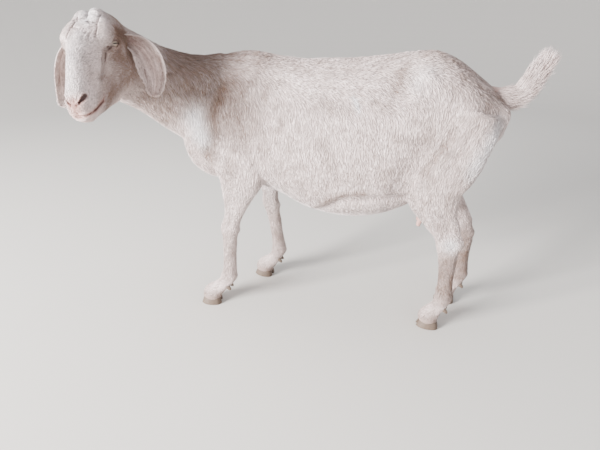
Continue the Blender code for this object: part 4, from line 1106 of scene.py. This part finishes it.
def growCoat():
    roots, ups = scatterRoots(skin.data)
    shades = shadeAt(roots, ups)
    clear = ~isBare(roots - shift, shades)
    roots, ups, shades = roots[clear], ups[clear], shades[clear]
    ways, spots = lieOfCoat(roots, ups)
    count = len(roots)
    own = roots - shift
    onHead = headShare(own)
    bodyLocks, headLocks = coatMake["locks"]
    clump = clumping(roots, ways, bodyLocks, 1.0) * (1 - onHead)
    clump = clump + 1.9 * clumping(roots, ways, headLocks, 9.0) * onHead
    patch = clumping(roots, ways, coatMake["patches"], 31.0)
    curly = ramp(own[:, 0], 0.10, 0.22) * ramp(own[:, 2], 0.45, 0.55)  # the coat waves on the rump
    wave = lumps(roots, 0.030, 11.0) * (0.35 - 0.15 * onHead) + 0.75 * curly * lumps(roots, 0.014, 17.0)
    stray = rng.normal(0, coatMake["stray"], count) + wave
    ways = unit(ways + np.cross(ups, ways) * stray[:, None])
    long = blend("Long", roots) * (0.75 + 0.5 * rng.random(count))
    wide = blend("Wide", roots) * (0.7 + 0.6 * rng.random(count))
    rise = blend("Rise", roots) * np.clip(0.45 + 0.8 * rng.random(count) + 0.8 * clump, 0.2, 1.6)
    waist, waistUp = ontoSkin(roots + ways * long[:, None] * 0.5)
    tip, tipUp = ontoSkin(roots + ways * long[:, None])
    tip = tip + tipUp * (rise * 0.50)[:, None]
    waist = waist + waistUp * rise[:, None]
    root = roots - ups * coatMake["sunk"]
    knee = 2 * waist - (root + tip) / 2
    marks = marksAt(roots)
    uneven = 2.0 * patch + 1.2 * clump + rng.normal(0, 0.35, count)
    marks[:, 0] = np.clip(marks[:, 0] + (0.05 + marks[:, 0]) * (1 - marks[:, 0]) * uneven, 0, 1)
    # the tone differs at random, and is higher on the locks that the clumps raise, as painted light on them
    tone = 0.66 + 0.32 * (rng.random(count) - 0.5) + 0.78 * clump + 0.04 * onHead
    # the painted shade of the deep lines darkens the tufts
    tone = np.maximum(tone, 0.27) * (1 - 0.8 * shades)
    thick = wide * coatMake["flat"]
    order = np.argsort(np.round(spots[:, 1] * 8) + spots[:, 0], kind="stable")
    pieces = []
    for start in range(0, count, coatMake["pieceTufts"]):
        i = order[start:start + coatMake["pieceTufts"]]
        parts = [values[i] for values in (root, knee, tip, ups, wide, thick, marks, tone, spots)]
        pieces.append(tuftMesh("coat_%02d" % len(pieces), *parts, 2))
    return pieces


coat = growCoat()
print("coat", len(coat), "pieces", sum(len(c.data.polygons) for c in coat), "triangles")


# Ears: rows of place out, ahead and up from the root, half width, half the curl, degrees that the hollow faces out
earShape = {
    "root": (0.012, -0.058, 0.052),
    "left": [
        (-0.016, 0.004, 0.002, 0.015, 1.90, 10),
        (0.004, 0.004, 0.001, 0.018, 1.60, 6),
        (0.022, 0.006, -0.005, 0.022, 1.20, 4),
        (0.042, 0.009, -0.017, 0.030, 0.90, 0),
        (0.0575, 0.014, -0.038, 0.0360, 0.72, -2),
        (0.067, 0.020, -0.064, 0.0370, 0.62, -4),
        (0.0705, 0.027, -0.088, 0.0300, 0.58, -4),
        (0.0685, 0.033, -0.107, 0.0215, 0.55, -4),
        (0.0665, 0.037, -0.118, 0.0135, 0.50, -4),
        (0.0655, 0.039, -0.123, 0.0060, 0.45, -4),
    ],
    "right": [
        (-0.016, 0.004, 0.002, 0.015, 1.90, 0),
        (0.002, 0.000, 0.001, 0.018, 1.60, -8),
        (0.018, -0.004, -0.006, 0.022, 1.20, -22),
        (0.036, -0.006, -0.022, 0.028, 0.90, -36),
        (0.050, -0.004, -0.047, 0.0320, 0.72, -48),
        (0.058, 0.000, -0.076, 0.0310, 0.62, -50),
        (0.062, 0.006, -0.105, 0.0265, 0.58, -44),
        (0.066, 0.011, -0.128, 0.0200, 0.55, -34),
        (0.070, 0.015, -0.142, 0.0130, 0.50, -26),
        (0.072, 0.017, -0.148, 0.0055, 0.45, -24),
    ],
    "rings": 84,
    "across": 40,
    "thick": 0.0032,
    "folds": [  # middle across the ear, drift along it, spread, height of each low fold
        (-0.34, 0.10, 0.10, 0.0014),
        (0.02, -0.06, 0.09, 0.0017),
        (0.36, -0.22, 0.10, 0.0014),
        (0.66, -0.10, 0.09, -0.0010),
        (-0.66, 0.08, 0.09, -0.0010),
    ],
    "tufts": 4600,
    "hairLong": 0.0085,
    "hairWide": 0.0011,
    "hairRise": 0.0007,
    "hairSunk": 0.0004,
}


earLooks = {
    "brown": (0.46, 0.14, 0.42),  # at the root, and the stretch down the ear where it fades
    "allBrown": 0.13,
    "crestPale": 0.20,
    "pink": (0.05, 0.24, 0.14),  # all over, in the hollow, and at the tip
    "paler": {"left": (1, 1), "right": (0.12, 0.3)},  # shares of brown and pink; the right ear is the paler
    "tone": (0.46, 0.10, 0.38, 0.20),  # outside; lower in the hollow as painted shade, higher on the crests and along the edges as painted light
}


# Height of the long folds of an ear: each rises as exp(-((s - middle) / spread)^2), and its middle wanders down
# the ear
def foldHeight(s, along, share=1.0):
    height = 0.0
    for middle, drift, spread, rise in earShape["folds"]:
        bend = middle + drift * (along - 0.5) + 0.06 * np.sin(10 * along + 9 * middle)
        uneven = 0.70 + 0.30 * np.sin(19 * along + 23 * middle)
        height = height + rise * uneven * bell(s - bend, share * spread)
    return height


# An ear is an arc of radius half width / curl carried down a bent line, with an inner and an outer face a thickness
# apart and long low folds along it
def earSurface(name):
    rows = flow(earShape[name], earShape["rings"])
    side = sideSign[name]
    out = unit(headAxes[2] * (1, 1, 0)) * side
    ahead = unit(headAxes[0] * (1, 1, 0))
    root = fromHead(onSide(earShape["root"], side, 2))[0] + shift
    middles = root + rows[:, :1] * out + rows[:, 1:2] * ahead + rows[:, 2:3] * np.array((0, 0, 1.0))
    way = unit(np.gradient(middles, axis=0))
    turned = np.radians(rows[:, 5:6])
    hollow = flatOn(ahead * np.cos(turned) + out * np.sin(turned), way)
    cross = np.cross(way, hollow)
    half, curl = rows[:, 3:4], rows[:, 4:5]
    s = np.linspace(-1, 1, earShape["across"])[None]
    along = np.linspace(0, 1, len(rows))[:, None]
    broad = np.clip(half / 0.03, 0, 1) * np.clip(along * 4, 0, 1)
    ripple = foldHeight(s, along) * broad + 0.0006 * np.sin(s * 9 + along * 11) * broad
    edge = earShape["thick"] * (0.5 - 0.30 * np.abs(s) ** 3) * np.clip(0.4 + half / 0.02, 0, 1)
    ray = -hollow[:, None] * np.cos(s * curl)[..., None] + cross[:, None] * np.sin(s * curl)[..., None]
    centre = (middles + hollow * half / curl)[:, None]
    radius = half / curl + ripple
    outer = centre + ray * (radius + edge)[..., None]
    inner = centre + ray * (radius - edge)[..., None]
    return np.concatenate([outer, inner[:, ::-1]], 1), way


# Marks on an ear: brown near the root, pink in the hollow and at the tip, less brown on the crests and along the edges;
# the tone paints shade in the hollow and light on the crests and along the edges
def makeEar(name):
    rings, way = earSurface(name)
    ear = solidsToObject("ear_" + name + "_blade", [tube(rings)])
    count, around = rings.shape[:2]
    half = around // 2
    s = np.concatenate([np.linspace(-1, 1, half), np.linspace(1, -1, half)])[None] + np.zeros((count, 1))
    along = np.linspace(0, 1, count)[:, None] + 0 * s
    inner = (np.arange(around) >= half)[None] + 0 * s
    crest = foldHeight(s, along, 0.8) / 0.0016 * ramp(along, 0.12, 0.40)
    most, start, end = earLooks["brown"]
    brown = most * (1 - ramp(along, start, end)) + earLooks["allBrown"] - earLooks["crestPale"] * np.clip(crest, 0, 1)
    brown = brown * (1 - 0.6 * ramp(np.abs(s), 0.82, 1.0)) * (1 - 0.5 * ramp(along, 0.75, 1.0))
    base, hollow, tip = earLooks["pink"]
    pink = base + hollow * inner * (1 - np.abs(s)) + tip * ramp(along, 0.86, 1.0)
    lessBrown, lessPink = earLooks["paler"][name]
    marks = np.stack([lessBrown * brown, lessPink * pink, 0 * pink], -1).reshape(-1, 3)
    ends = np.tile((0.3, 0.3, 0.0), (2, 1))
    base, hollow, high, edge = earLooks["tone"]
    # painted shade in the hollow, painted light on the crests and along the edges
    tone = (base - hollow * inner + high * crest + edge * ramp(np.abs(s), 0.84, 1.0)).ravel()
    lie = np.concatenate([np.repeat(way, around, 0), way[:1], way[-1:]])
    dress(ear.data, np.concatenate([marks, ends]), np.append(tone, (0.5, 0.5)), lie)
    return ear, rings, way, np.column_stack([marks, tone])


# Hair of an ear lies down its length in short tufts, shorter still at the tip
def earHair(name, rings, way, marks):
    count, around = rings.shape[:2]
    tufts = earShape["tufts"]
    v = 0.04 + 0.945 * rng.random(tufts)
    u = rng.random(tufts)
    i, j = (v * (count - 1)).astype(int), (u * around).astype(int) % around
    i = np.clip(i, 1, count - 2)
    f = rng.random((tufts, 1))
    root = rings[i, j] * (1 - f) + rings[i, (j + 1) % around] * f
    root = root + (rings[i + 1, j] - rings[i, j]) * rng.random((tufts, 1))
    beside = rings[i, (j + 1) % around] - rings[i, (j - 1) % around]
    ups = unit(np.cross(beside, rings[i + 1, j] - rings[i - 1, j]))
    outward = rings[i, j] - rings[i, (around - 1 - j) % around]
    ups = ups * np.sign((ups * outward).sum(1, keepdims=True) + 1e-9)
    fan = flatOn(way[i] + rng.normal(0, 0.13, (tufts, 3)), ups)
    long = earShape["hairLong"] * (0.7 + 0.6 * rng.random(tufts)) * (1 - 0.6 * ramp(v, 0.80, 1.0))
    rise = earShape["hairRise"] * (0.4 + 0.9 * rng.random(tufts))
    tip = root + fan * long[:, None] + ups * (rise * 0.8)[:, None]
    knee = root + fan * (long * 0.5)[:, None] + ups * (rise * 1.6)[:, None]
    wide = earShape["hairWide"] * (0.7 + 0.6 * rng.random(tufts))
    clump = clumping(root, way[i], 0.0050, 21.0)
    own = marks.reshape(count, around, 4)[i, j]
    tone = own[:, 3] + 0.18 + 0.24 * (rng.random(tufts) - 0.5) + 0.95 * clump
    spot = np.stack([0.01 + 0.97 * u, 0.01 + 0.97 * v], 1)
    root, thick = root - ups * earShape["hairSunk"], wide * coatMake["flat"]
    return tuftMesh("ear_" + name + "_hair", root, knee, tip, ups, wide, thick, own[:, :3], tone, spot, 2)


ears, earCoats = {}, {}
for name in sideSign:
    ears[name], rings, way, marks = makeEar(name)
    earCoats[name] = earHair(name, rings, way, marks)
print("ears")

tailShape = {
    "rows": [  # x, height, half depth, half width of the dock
        (0.330, 0.670, 0.018, 0.014),
        (0.358, 0.662, 0.022, 0.016),
        (0.388, 0.662, 0.022, 0.016),
        (0.412, 0.680, 0.019, 0.014),
        (0.428, 0.706, 0.015, 0.012),
        (0.440, 0.730, 0.010, 0.008),
        (0.446, 0.742, 0.004, 0.004),
    ],
    "rings": 60,
    "around": 24,
    "locks": 4200,
    "long": 0.040,
    "wide": 0.0020,
    "flat": 0.3,
    "dock": (0.35, 0.25, 0, 0.35),  # marks and tone of the dock under the locks; its low tone is painted shade under them
}


# Locks of the tail grow round the dock and sweep along it, B(t) from the root out and up towards the tip
def makeTail():
    rings, around = tailShape["rings"], tailShape["around"]
    rows = flow(tailShape["rows"], rings)
    middles = np.stack([rows[:, 0], 0 * rows[:, 0], rows[:, 1]], 1)
    dock = solidsToObject("tail_dock", [tube(limbRings(middles, rows[:, 2], rows[:, 3], around))])
    moveTo(dock.data, placesOf(dock.data) + shift)
    sweep = unit(np.gradient(middles, axis=0))
    looks = np.tile(tailShape["dock"], (len(dock.data.vertices), 1))
    dress(dock.data, looks[:, :3], looks[:, 3], np.concatenate([np.repeat(sweep, around, 0), sweep[:1], sweep[-1:]]))
    count = tailShape["locks"]
    place = rng.random(count) * 52 + 6
    i = place.astype(int)
    turn = rng.random(count) * math.tau
    way = sweep[i]
    front = np.cross(np.array((0, 1.0, 0)), way)
    out = np.sin(turn)[:, None] * np.array((0, 1.0, 0)) + np.cos(turn)[:, None] * front
    root = middles[i] + out * 0.8 * np.stack([rows[i, 2]] * 3, 1)
    long = tailShape["long"] * (0.55 + 0.6 * rng.random(count))
    along = way + 0.30 * out + rng.normal(0, 0.12, (count, 3))
    knee = root + unit(way * 0.6 + out * 0.55) * (long * 0.5)[:, None]
    tip = root + unit(along) * long[:, None]
    tip[:, 2] += 0.004
    spot = np.stack([0.80 + 0.18 * turn / math.tau, 0.02 + 0.26 * place / rings], 1)
    marks = np.zeros((count, 3))
    marks[:, 0] = 0.30 * (1 - ramp(place, 8, 30)) + 0.10 * rng.random(count)
    marks[:, 1] = 0.10 * rng.random(count)
    tone = 0.70 + 0.15 * rng.random(count) + 0.10 * ramp(place, 20, 50)
    wide = tailShape["wide"] * (0.7 + 0.6 * rng.random(count))
    line = [places + shift for places in (root, knee, tip)]
    return dock, tuftMesh("tail_locks", *line, out, wide, wide * tailShape["flat"], marks, tone, spot, 4)


tailDock, tailLocks = makeTail()
print("tail")


# An eyeball is a ball with a slight bulge in front, radius * (1 + bulge * exp(-(angle/spread)^2)), kept with the axes
# of its own gaze
def makeEye(name):
    side = sideSign[name]
    centre, way, across, upright = eyeAxes(side)
    rings = ballRings((0, 0, 0), (1, 1, 1), 40, 48)
    angle = np.arccos(np.clip(rings[..., 2], -1, 1))
    bulge, spread = eyeShape["bulge"]
    r = eyeShape["radius"] * (1 + bulge * bell(angle, spread))
    local = rings * r[..., None]
    world = centre + shift + local[..., :1] * across + local[..., 1:2] * upright + local[..., 2:] * way
    eye = solidsToObject("eyeball_" + name, [tube(world)])
    gaze = np.concatenate([local.reshape(-1, 3), local[0].mean(0, keepdims=True), local[-1].mean(0, keepdims=True)])
    layer = eye.data.attributes.new("gaze", "FLOAT_VECTOR", "POINT")
    layer.data.foreach_set("vector", (gaze / eyeShape["radius"]).astype(np.float32).ravel())
    return eye


eyes = {name: makeEye(name) for name in sideSign}


# Lids: a sheet carried round the almond a*cos, b*sin, from a rounded rim on the globe outward, where it comes down
# onto the skin. Its profile gives share of the way out and height over the globe; it turns back under itself to close
lidProfile = {
    "out": [0.0, 0.03, 0.10, 0.22, 0.36, 0.46, 0.54, 0.64, 0.80, 1.0, 0.7, 0.3],
    "upper": [0.2, 1.1, 1.9, 2.3, 2.1, 1.2, 1.2, 2.2, 2.3, 1.4, -0.5, -0.8],  # millimetres over the globe
    "lower": [0.2, 0.9, 1.4, 1.5, 1.3, 1.2, 1.3, 1.5, 1.5, 1.0, -0.5, -0.8],
    "reach": (0.0180, 0.0135),
    "around": 128,
    "tone": (0.46, 0.46, 0.30),  # of the lids, how much darker the rim is, and the painted shade in the upper lid's fold
    "sink": 0.0004,  # how far the outer edge goes under the skin
}


def makeLids(name):
    side = sideSign[name]
    centre, way, across, upright = eyeAxes(side)
    around = lidProfile["around"]
    turn = (np.arange(around) * math.tau / around)[:, None]
    out = np.array(lidProfile["out"])[None]
    above = ramp(np.sin(turn), -0.25, 0.25)
    height = np.array(lidProfile["upper"])[None] * above + np.array(lidProfile["lower"])[None] * (1 - above)
    a = eyeShape["long"] * np.cos(turn)
    b = eyeShape["tall"] * np.sin(turn) * (1 - 0.25 * np.cos(turn) ** 2) + eyeShape["tilt"] * a
    a = a + (lidProfile["reach"][0] * np.cos(turn) - a) * out
    b = b + (lidProfile["reach"][1] * np.sin(turn) - b) * out
    r = eyeShape["radius"] + height / 1000
    flat = np.hypot(a, b)
    c = np.sqrt(r**2 - np.minimum(flat, 0.82 * r) ** 2) - 0.6 * np.maximum(flat - 0.82 * r, 0)
    start = centre + shift + a[..., None] * across + b[..., None] * upright
    shown = lidProfile["out"].index(1.0) + 1
    for i, j in np.ndindex(around, shown):
        down = ramp(lidProfile["out"][j], 0.60, 1.0)
        hit = skinTree.ray_cast(Vector(start[i, j] + way * 0.04), Vector(-way), 0.06)[0]
        if hit is not None and down > 0:
            c[i, j] += down * (float(np.dot(np.array(hit) - start[i, j], way)) - lidProfile["sink"] * down - c[i, j])
    points = start + c[..., None] * way
    wide = len(lidProfile["out"])
    i, j = np.meshgrid(np.arange(around), np.arange(wide), indexing="ij")
    k, m = (i + 1) % around, (j + 1) % wide
    faces = np.stack([i * wide + j, i * wide + m, k * wide + m, k * wide + j], -1).reshape(-1, 4)
    if side < 0:
        faces = faces[:, ::-1]
    lids = solidsToObject("lids_" + name, [(points.reshape(-1, 3), faces.tolist())])
    marks = marksAt(points.reshape(-1, 3))
    rim = 1 - ramp(out, 0.12, 0.52) + 0 * turn
    # painted shade along the fold of the upper lid
    foldShade = bell(out - 0.50, 0.06) * above
    base, onRim, inFold = lidProfile["tone"]
    tone = (base - onRim * rim - inFold * foldShade).ravel()
    marks[:, 0] = np.maximum(marks[:, 0], rim.ravel())
    dress(lids.data, marks, tone, np.repeat(across[None], around * wide, 0))
    return lids


lids = {name: makeLids(name) for name in sideSign}
print("eyes")

clawShape = {
    "outline": [  # toe forward: ahead of the middle, away from the cleft, at the sole
        (0.036, 0.002), (0.034, 0.008), (0.026, 0.0155), (0.012, 0.0215), (-0.004, 0.0235), (-0.018, 0.0215),
        (-0.026, 0.0150), (-0.0275, 0.0075), (-0.025, 0.0022), (-0.010, 0.0012), (0.008, 0.0012), (0.024, 0.0012),
    ],
    "tilt": 0.36,
    "heel": 0.0285,
    "rings": 26,
    "growth": (0.008, 40),  # depth of the growth rings as a share, and how close they are
    "lean": 0.014,
    "cleft": 0.0032,  # half the gap between the claws
}


# A claw's wall: the outline drawn in towards the coronet by its level, leaning back at the toe, with fine growth rings
def makeClaw(name, side, label):
    x, out, toeOut = legShape["feet"][name]
    legSide = sideSign[name.split("_")[1]]
    turn = -math.radians(toeOut) * legSide
    closed = np.array(clawShape["outline"] + clawShape["outline"][:1])
    outline = flow(np.concatenate([closed[-2:-1], closed, closed[1:2]]), 15 * 6 + 1)
    outline = outline[6:-7]
    level = np.concatenate([[0.0, 0.0], np.linspace(0.03, 1, clawShape["rings"] - 2)])[:, None]
    inset = np.concatenate([[0.90, 0.955], np.interp(level[2:, 0], [0.03, 0.5, 1.0], [0.985, 0.95, 0.84])])[:, None]
    deep, close = clawShape["growth"]
    ridge = 1 + deep * np.sin(level * close) * (level > 0.1)
    ahead = (outline[None, :, 0] + 0.004) * inset * ridge - 0.004
    ahead = ahead - clawShape["lean"] * level * np.clip(outline[None, :, 0] / 0.036, 0, 1)
    away = clawShape["cleft"] + outline[None, :, 1] * inset * ridge
    height = (clawShape["heel"] + clawShape["tilt"] * ahead) * level
    px = x - ahead * math.cos(turn) - away * side * math.sin(turn)
    py = out * legSide - ahead * math.sin(turn) + away * side * math.cos(turn)
    return solidsToObject("hoof_" + name + label, [tube(np.stack([px, py, height], -1) + shift)])


hooves = {}
for name in legShape["feet"]:
    for side in (-1, 1):
        label = "_outer" if side == sideSign[name.split("_")[1]] else "_inner"
        hooves[name + label] = makeClaw(name, side, label)
print("hooves")


# A colour from its sRGB hex value, as the linear numbers that the shader mixes
def hexColour(text):
    v = np.array([int(text[i:i + 2], 16) for i in (0, 2, 4)]) / 255
    return (*np.where(v < 0.04045, v / 12.92, ((v + 0.055) / 1.055) ** 2.4), 1.0)


# Adds a node with its settings, and links: a number, a colour or (node, output) for each input
def addNode(tree, kind, inputs=None, **settings):
    node = tree.nodes.new("ShaderNode" + kind)
    for key, value in settings.items():
        setattr(node, key, value)
    for key, value in (inputs or {}).items():
        if isinstance(value, tuple) and isinstance(value[0], bpy.types.Node):
            tree.links.new(value[0].outputs[value[1]], node.inputs[key])
        else:
            node.inputs[key].default_value = value
    return node


def newMaterial(name):
    made = bpy.data.materials.new(name)
    made.use_nodes = True
    made.node_tree.nodes.clear()
    return made, made.node_tree


coatColours = {  # each a painted-shade colour for the roots and the hollows, and a painted-light colour for the tips
    "pale": ("836A61", "FDECE9"),
    "brown": ("2E1D14", "775641"),
    "pink": ("9A6054", "D6A699"),
    "cool": ("B9B0B0", "FCFBFE"),
    # darkest colour: painted shade in the deep lines and the nostrils, also the dark rims of the lids
    "line": "3E2723",
    "mottle": 0.035,  # size of the cloudy patches, in metres
    "nap": 0.0026,  # breadth of the underhair's streaks
    "drawn": 0.86,  # how far they are drawn out along the lie
}


# Mixes two colours by a factor
def mixOf(tree, factor, first, second):
    return addNode(tree, "Mix", {0: factor, 6: first, 7: second}, data_type="RGBA")


def maths(tree, how, first, second):
    return addNode(tree, "Math", {0: first, 1: second}, operation=how)


# Maps values between two ends onto two others
def mapped(tree, value, start, end, low, high):
    return addNode(tree, "MapRange", {0: value, 1: start, 2: end, 3: low, 4: high})


# The surface itself, joined to the material's output
def surface(tree, colour, rough, **more):
    inputs = {key.replace("_", " "): value for key, value in more.items()}
    shader = addNode(tree, "BsdfPrincipled", {"Base Color": colour, "Roughness": rough, **inputs})
    addNode(tree, "OutputMaterial", {0: (shader, 0)})


# The markings as colour, the same for skin and coat: pale, then brown with painted shade, white with painted light, and
# pink by the marks, each from its painted-shade colour to its painted-light colour by the tone, with cloudy patches of
# faint tan
def markedColour(tree, lift, extra=None):
    marks = addNode(tree, "Attribute", attribute_name="marks")
    parts = addNode(tree, "SeparateColor", {0: (marks, "Color")})
    where = addNode(tree, "TexCoord")
    fine = 1 / coatColours["mottle"]
    cloud = addNode(tree, "TexNoise", {"Vector": (where, "Object"), "Scale": fine, "Detail": 3.0})
    tone = maths(tree, "ADD", (marks, "Alpha"), lift)
    if extra:
        tone = maths(tree, "ADD", (tone, 0), extra)
    lit = addNode(tree, "Clamp", {0: (tone, 0)})
    kinds = {}
    for kind in ("pale", "brown", "cool", "pink"):
        deep, light = coatColours[kind]
        kinds[kind] = mixOf(tree, (lit, 0), hexColour(deep), hexColour(light))
    tan = mapped(tree, (cloud, "Fac"), 0.46, 0.72, 0.0, 0.36)
    colour = mixOf(tree, (tan, 0), (kinds["pale"], 2), (kinds["brown"], 2))
    for kind, channel in (("brown", 0), ("cool", 2), ("pink", 1)):
        colour = mixOf(tree, (parts, channel), (colour, 2), (kinds[kind], 2))
    # the lowest tones turn to the line colour: painted shade in the deep lines, and the lids' dark rims
    paintedShade = mapped(tree, (marks, "Alpha"), 0.0, 0.24, 1.0, 0.0)
    return mixOf(tree, (paintedShade, 0), (colour, 2), hexColour(coatColours["line"])), 2


# Guard hair: keratin, pale and a little oily, combed flat, so each tuft catches a soft light along its length
def hairMaterial():
    made, tree = newMaterial("goat guard hair, short and lying flat")
    surface(tree, markedColour(tree, 0.0), 0.60, IOR=1.55, Specular_IOR_Level=0.28, Sheen_Weight=0.18)
    return made


# Hide under the coat: skin with fine hair pressed on it; the nap is noise drawn out along the lie of the hair, which
# gives streaks a millimetre wide with a bump, painted shade between them and painted light on top
def hideMaterial():
    made, tree = newMaterial("goat hide with fine underhair")
    lie = addNode(tree, "Attribute", attribute_name="lie")
    spot = addNode(tree, "TexCoord")
    along = addNode(tree, "VectorMath", {0: (spot, "Object"), 1: (lie, "Vector")}, operation="DOT_PRODUCT")
    most = maths(tree, "MULTIPLY", (along, 1), coatColours["drawn"])
    slid = addNode(tree, "VectorMath", {0: (lie, "Vector"), "Scale": (most, 0)}, operation="SCALE")
    drawn = addNode(tree, "VectorMath", {0: (spot, "Object"), 1: (slid, 0)}, operation="SUBTRACT")
    nap = addNode(tree, "TexNoise", {"Vector": (drawn, 0), "Scale": 1 / coatColours["nap"], "Detail": 3.0})
    # painted shade between the streaks and painted light on top of them
    streak = mapped(tree, (nap, "Fac"), 0.30, 0.70, -0.20, 0.26)
    bump = addNode(tree, "Bump", {"Height": (nap, "Fac"), "Strength": 0.5, "Distance": 0.0009})
    surface(tree, markedColour(tree, 0.10, (streak, 0)), 0.68, Normal=(bump, 0))
    return made


# Hoof horn: dry keratin in growth rings a few millimetres apart, scuffed paler in patches
def hornMaterial():
    made, tree = newMaterial("hoof horn, dry and scuffed")
    where = addNode(tree, "TexCoord")
    wave = {"Vector": (where, "Object"), "Scale": 1 / 0.016, "Distortion": 3.0}
    rings = addNode(tree, "TexWave", wave, bands_direction="Z")
    dirt = addNode(tree, "TexNoise", {"Vector": (where, "Object"), "Scale": 1 / 0.008, "Detail": 4.0})
    horn = mixOf(tree, (rings, "Fac"), hexColour("43372F"), hexColour("5C4D43"))
    dusty = mixOf(tree, (dirt, "Fac"), (horn, 2), hexColour("705F52"))
    bump = addNode(tree, "Bump", {"Height": (rings, "Fac"), "Strength": 0.4, "Distance": 0.0006})
    surface(tree, (dusty, 2), 0.6, Normal=(bump, 0))
    return made


# Goat's eye: grey-amber iris with a level slot pupil under a clear wet cornea
def eyeMaterial():
    made, tree = newMaterial("goat eye, amber iris under a wet cornea")
    gaze = addNode(tree, "Attribute", attribute_name="gaze")
    split = addNode(tree, "SeparateXYZ", {0: (gaze, "Vector")})
    raised = maths(tree, "SUBTRACT", (split, 1), 0.09)
    wide = maths(tree, "DIVIDE", (split, 0), 0.55)
    tall = maths(tree, "DIVIDE", (raised, 0), 0.105)
    slot = addNode(tree, "CombineXYZ", {0: (wide, 0), 1: (tall, 0)})
    far = addNode(tree, "VectorMath", {0: (slot, 0)}, operation="LENGTH")
    pupil = mapped(tree, (far, 1), 0.9, 1.1, 1.0, 0.0)
    flat = addNode(tree, "CombineXYZ", {0: (split, 0), 1: (split, 1)})
    across = addNode(tree, "VectorMath", {0: (flat, 0)}, operation="LENGTH")
    iris = mapped(tree, (across, 1), 0.84, 0.98, 0.0, 1.0)
    streak = addNode(tree, "TexNoise", {"Vector": (gaze, "Vector"), "Scale": 6.0, "Detail": 3.0})
    amber = mixOf(tree, (streak, "Fac"), hexColour("75665A"), hexColour("A08F80"))
    rim = mixOf(tree, (iris, 0), (amber, 2), hexColour("5A4A3E"))
    dark = mixOf(tree, (pupil, 0), (rim, 2), hexColour("0C0A0A"))
    surface(tree, (dark, 2), 0.12, IOR=1.376, Coat_Weight=0.6, Coat_Roughness=0.04)
    return made


hair, hide, horn, eyeStuff = hairMaterial(), hideMaterial(), hornMaterial(), eyeMaterial()


def finish(piece, stuff, nodes=()):
    piece.data.materials.clear()
    piece.data.materials.append(stuff)
    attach(piece, "root")
    if nodes:
        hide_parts(*nodes)


finish(skin, hide, ["torso", "neck", "head", "udder"] + ["leg_" + n for n in legShape["feet"]])
for piece in coat:
    finish(piece, hair)
for name in sideSign:
    finish(ears[name], hide, ["ear_" + name])
    finish(earCoats[name], hair)
    finish(eyes[name], eyeStuff, ["eye_" + name])
    finish(lids[name], hide)
finish(tailDock, hide, ["tail"])
finish(tailLocks, hair)
for name, piece in hooves.items():
    finish(piece, horn, ["claw_" + name])
for name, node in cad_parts.items():
    if name.startswith("dewclaw"):
        node.data.materials.clear()
        node.data.materials.append(horn)
print("materials")

viewing = {
    "place": (0.1298, -1.2549, 0.894),
    "focal": 465.0,  # in pixels of the 600 wide frame
    "down": 26.6,
    "turn": 12.535,  # degrees that the camera looks to the left of straight across
}


def placeCamera():
    data = bpy.data.cameras.new("camera")
    camera = objectOf("camera", data)
    data.sensor_width = 36
    data.lens = viewing["focal"] * 36 / 600
    camera.location = Vector(viewing["place"]) + Vector(shift)
    camera.rotation_euler = (math.radians(90 - viewing["down"]), 0, math.radians(viewing["turn"]))
    bpy.context.scene.camera = camera


def softBox(name, place, aim, size, power, colour):
    data = bpy.data.lights.new(name, "AREA")
    data.shape = "SQUARE"
    data.size = size
    data.energy = power
    data.color = colour
    light = objectOf(name, data)
    light.location = place
    light.rotation_euler = (Vector(aim) - Vector(place)).to_track_quat("-Z", "Y").to_euler()


lamps = {  # place, what it is aimed at, size, power in watts, colour
    "key": ((-2.9, -2.9, 1.4), (-0.1, 0, 0.4), 1.6, 920, (1.0, 0.98, 0.965)),
    "fill": ((1.9, -2.8, 1.4), (0, 0, 0.4), 2.2, 30, (0.95, 0.97, 1.0)),
    "top": ((0.2, 0.6, 3.4), (0, 0, 0.5), 2.4, 40, (0.98, 0.99, 1.0)),
}
floorShape = {"flat": 3.4, "radius": 9.0, "rise": 3.2}


# The floor is a disc that curves up at its rim like a studio's sweep: height = rise * (how far out past the flat)^2
def makeStudio():
    flat, radius, rise = floorShape["flat"], floorShape["radius"], floorShape["rise"]
    r = np.linspace(0.05, radius, 60)
    z = rise * (np.clip((r - flat) / (radius - flat), 0, 1) ** 2)
    turn = np.arange(96) * math.tau / 96
    rings = np.stack([r[:, None] * np.cos(turn), r[:, None] * np.sin(turn), z[:, None] + 0 * turn], -1)
    points, faces = tube(rings)
    faces = [f for f in faces if len(points) - 1 not in f]  # open at the rim
    mesh = bpy.data.meshes.new("floor")
    mesh.from_pydata([tuple(p) for p in points[:-1]], [], faces)
    floor = objectOf("floor", mesh)
    made, tree = newMaterial("matt painted board")
    surface(tree, hexColour("D6D2CC"), 0.9)
    mesh.materials.append(made)
    world = bpy.data.worlds.new("studio")
    bpy.context.scene.world = world
    world.use_nodes = True
    sky = world.node_tree.nodes["Background"].inputs
    sky[0].default_value, sky[1].default_value = hexColour("E9EBF1"), 0.92
    for name, settings in lamps.items():
        softBox(name, *settings)


placeCamera()
makeStudio()
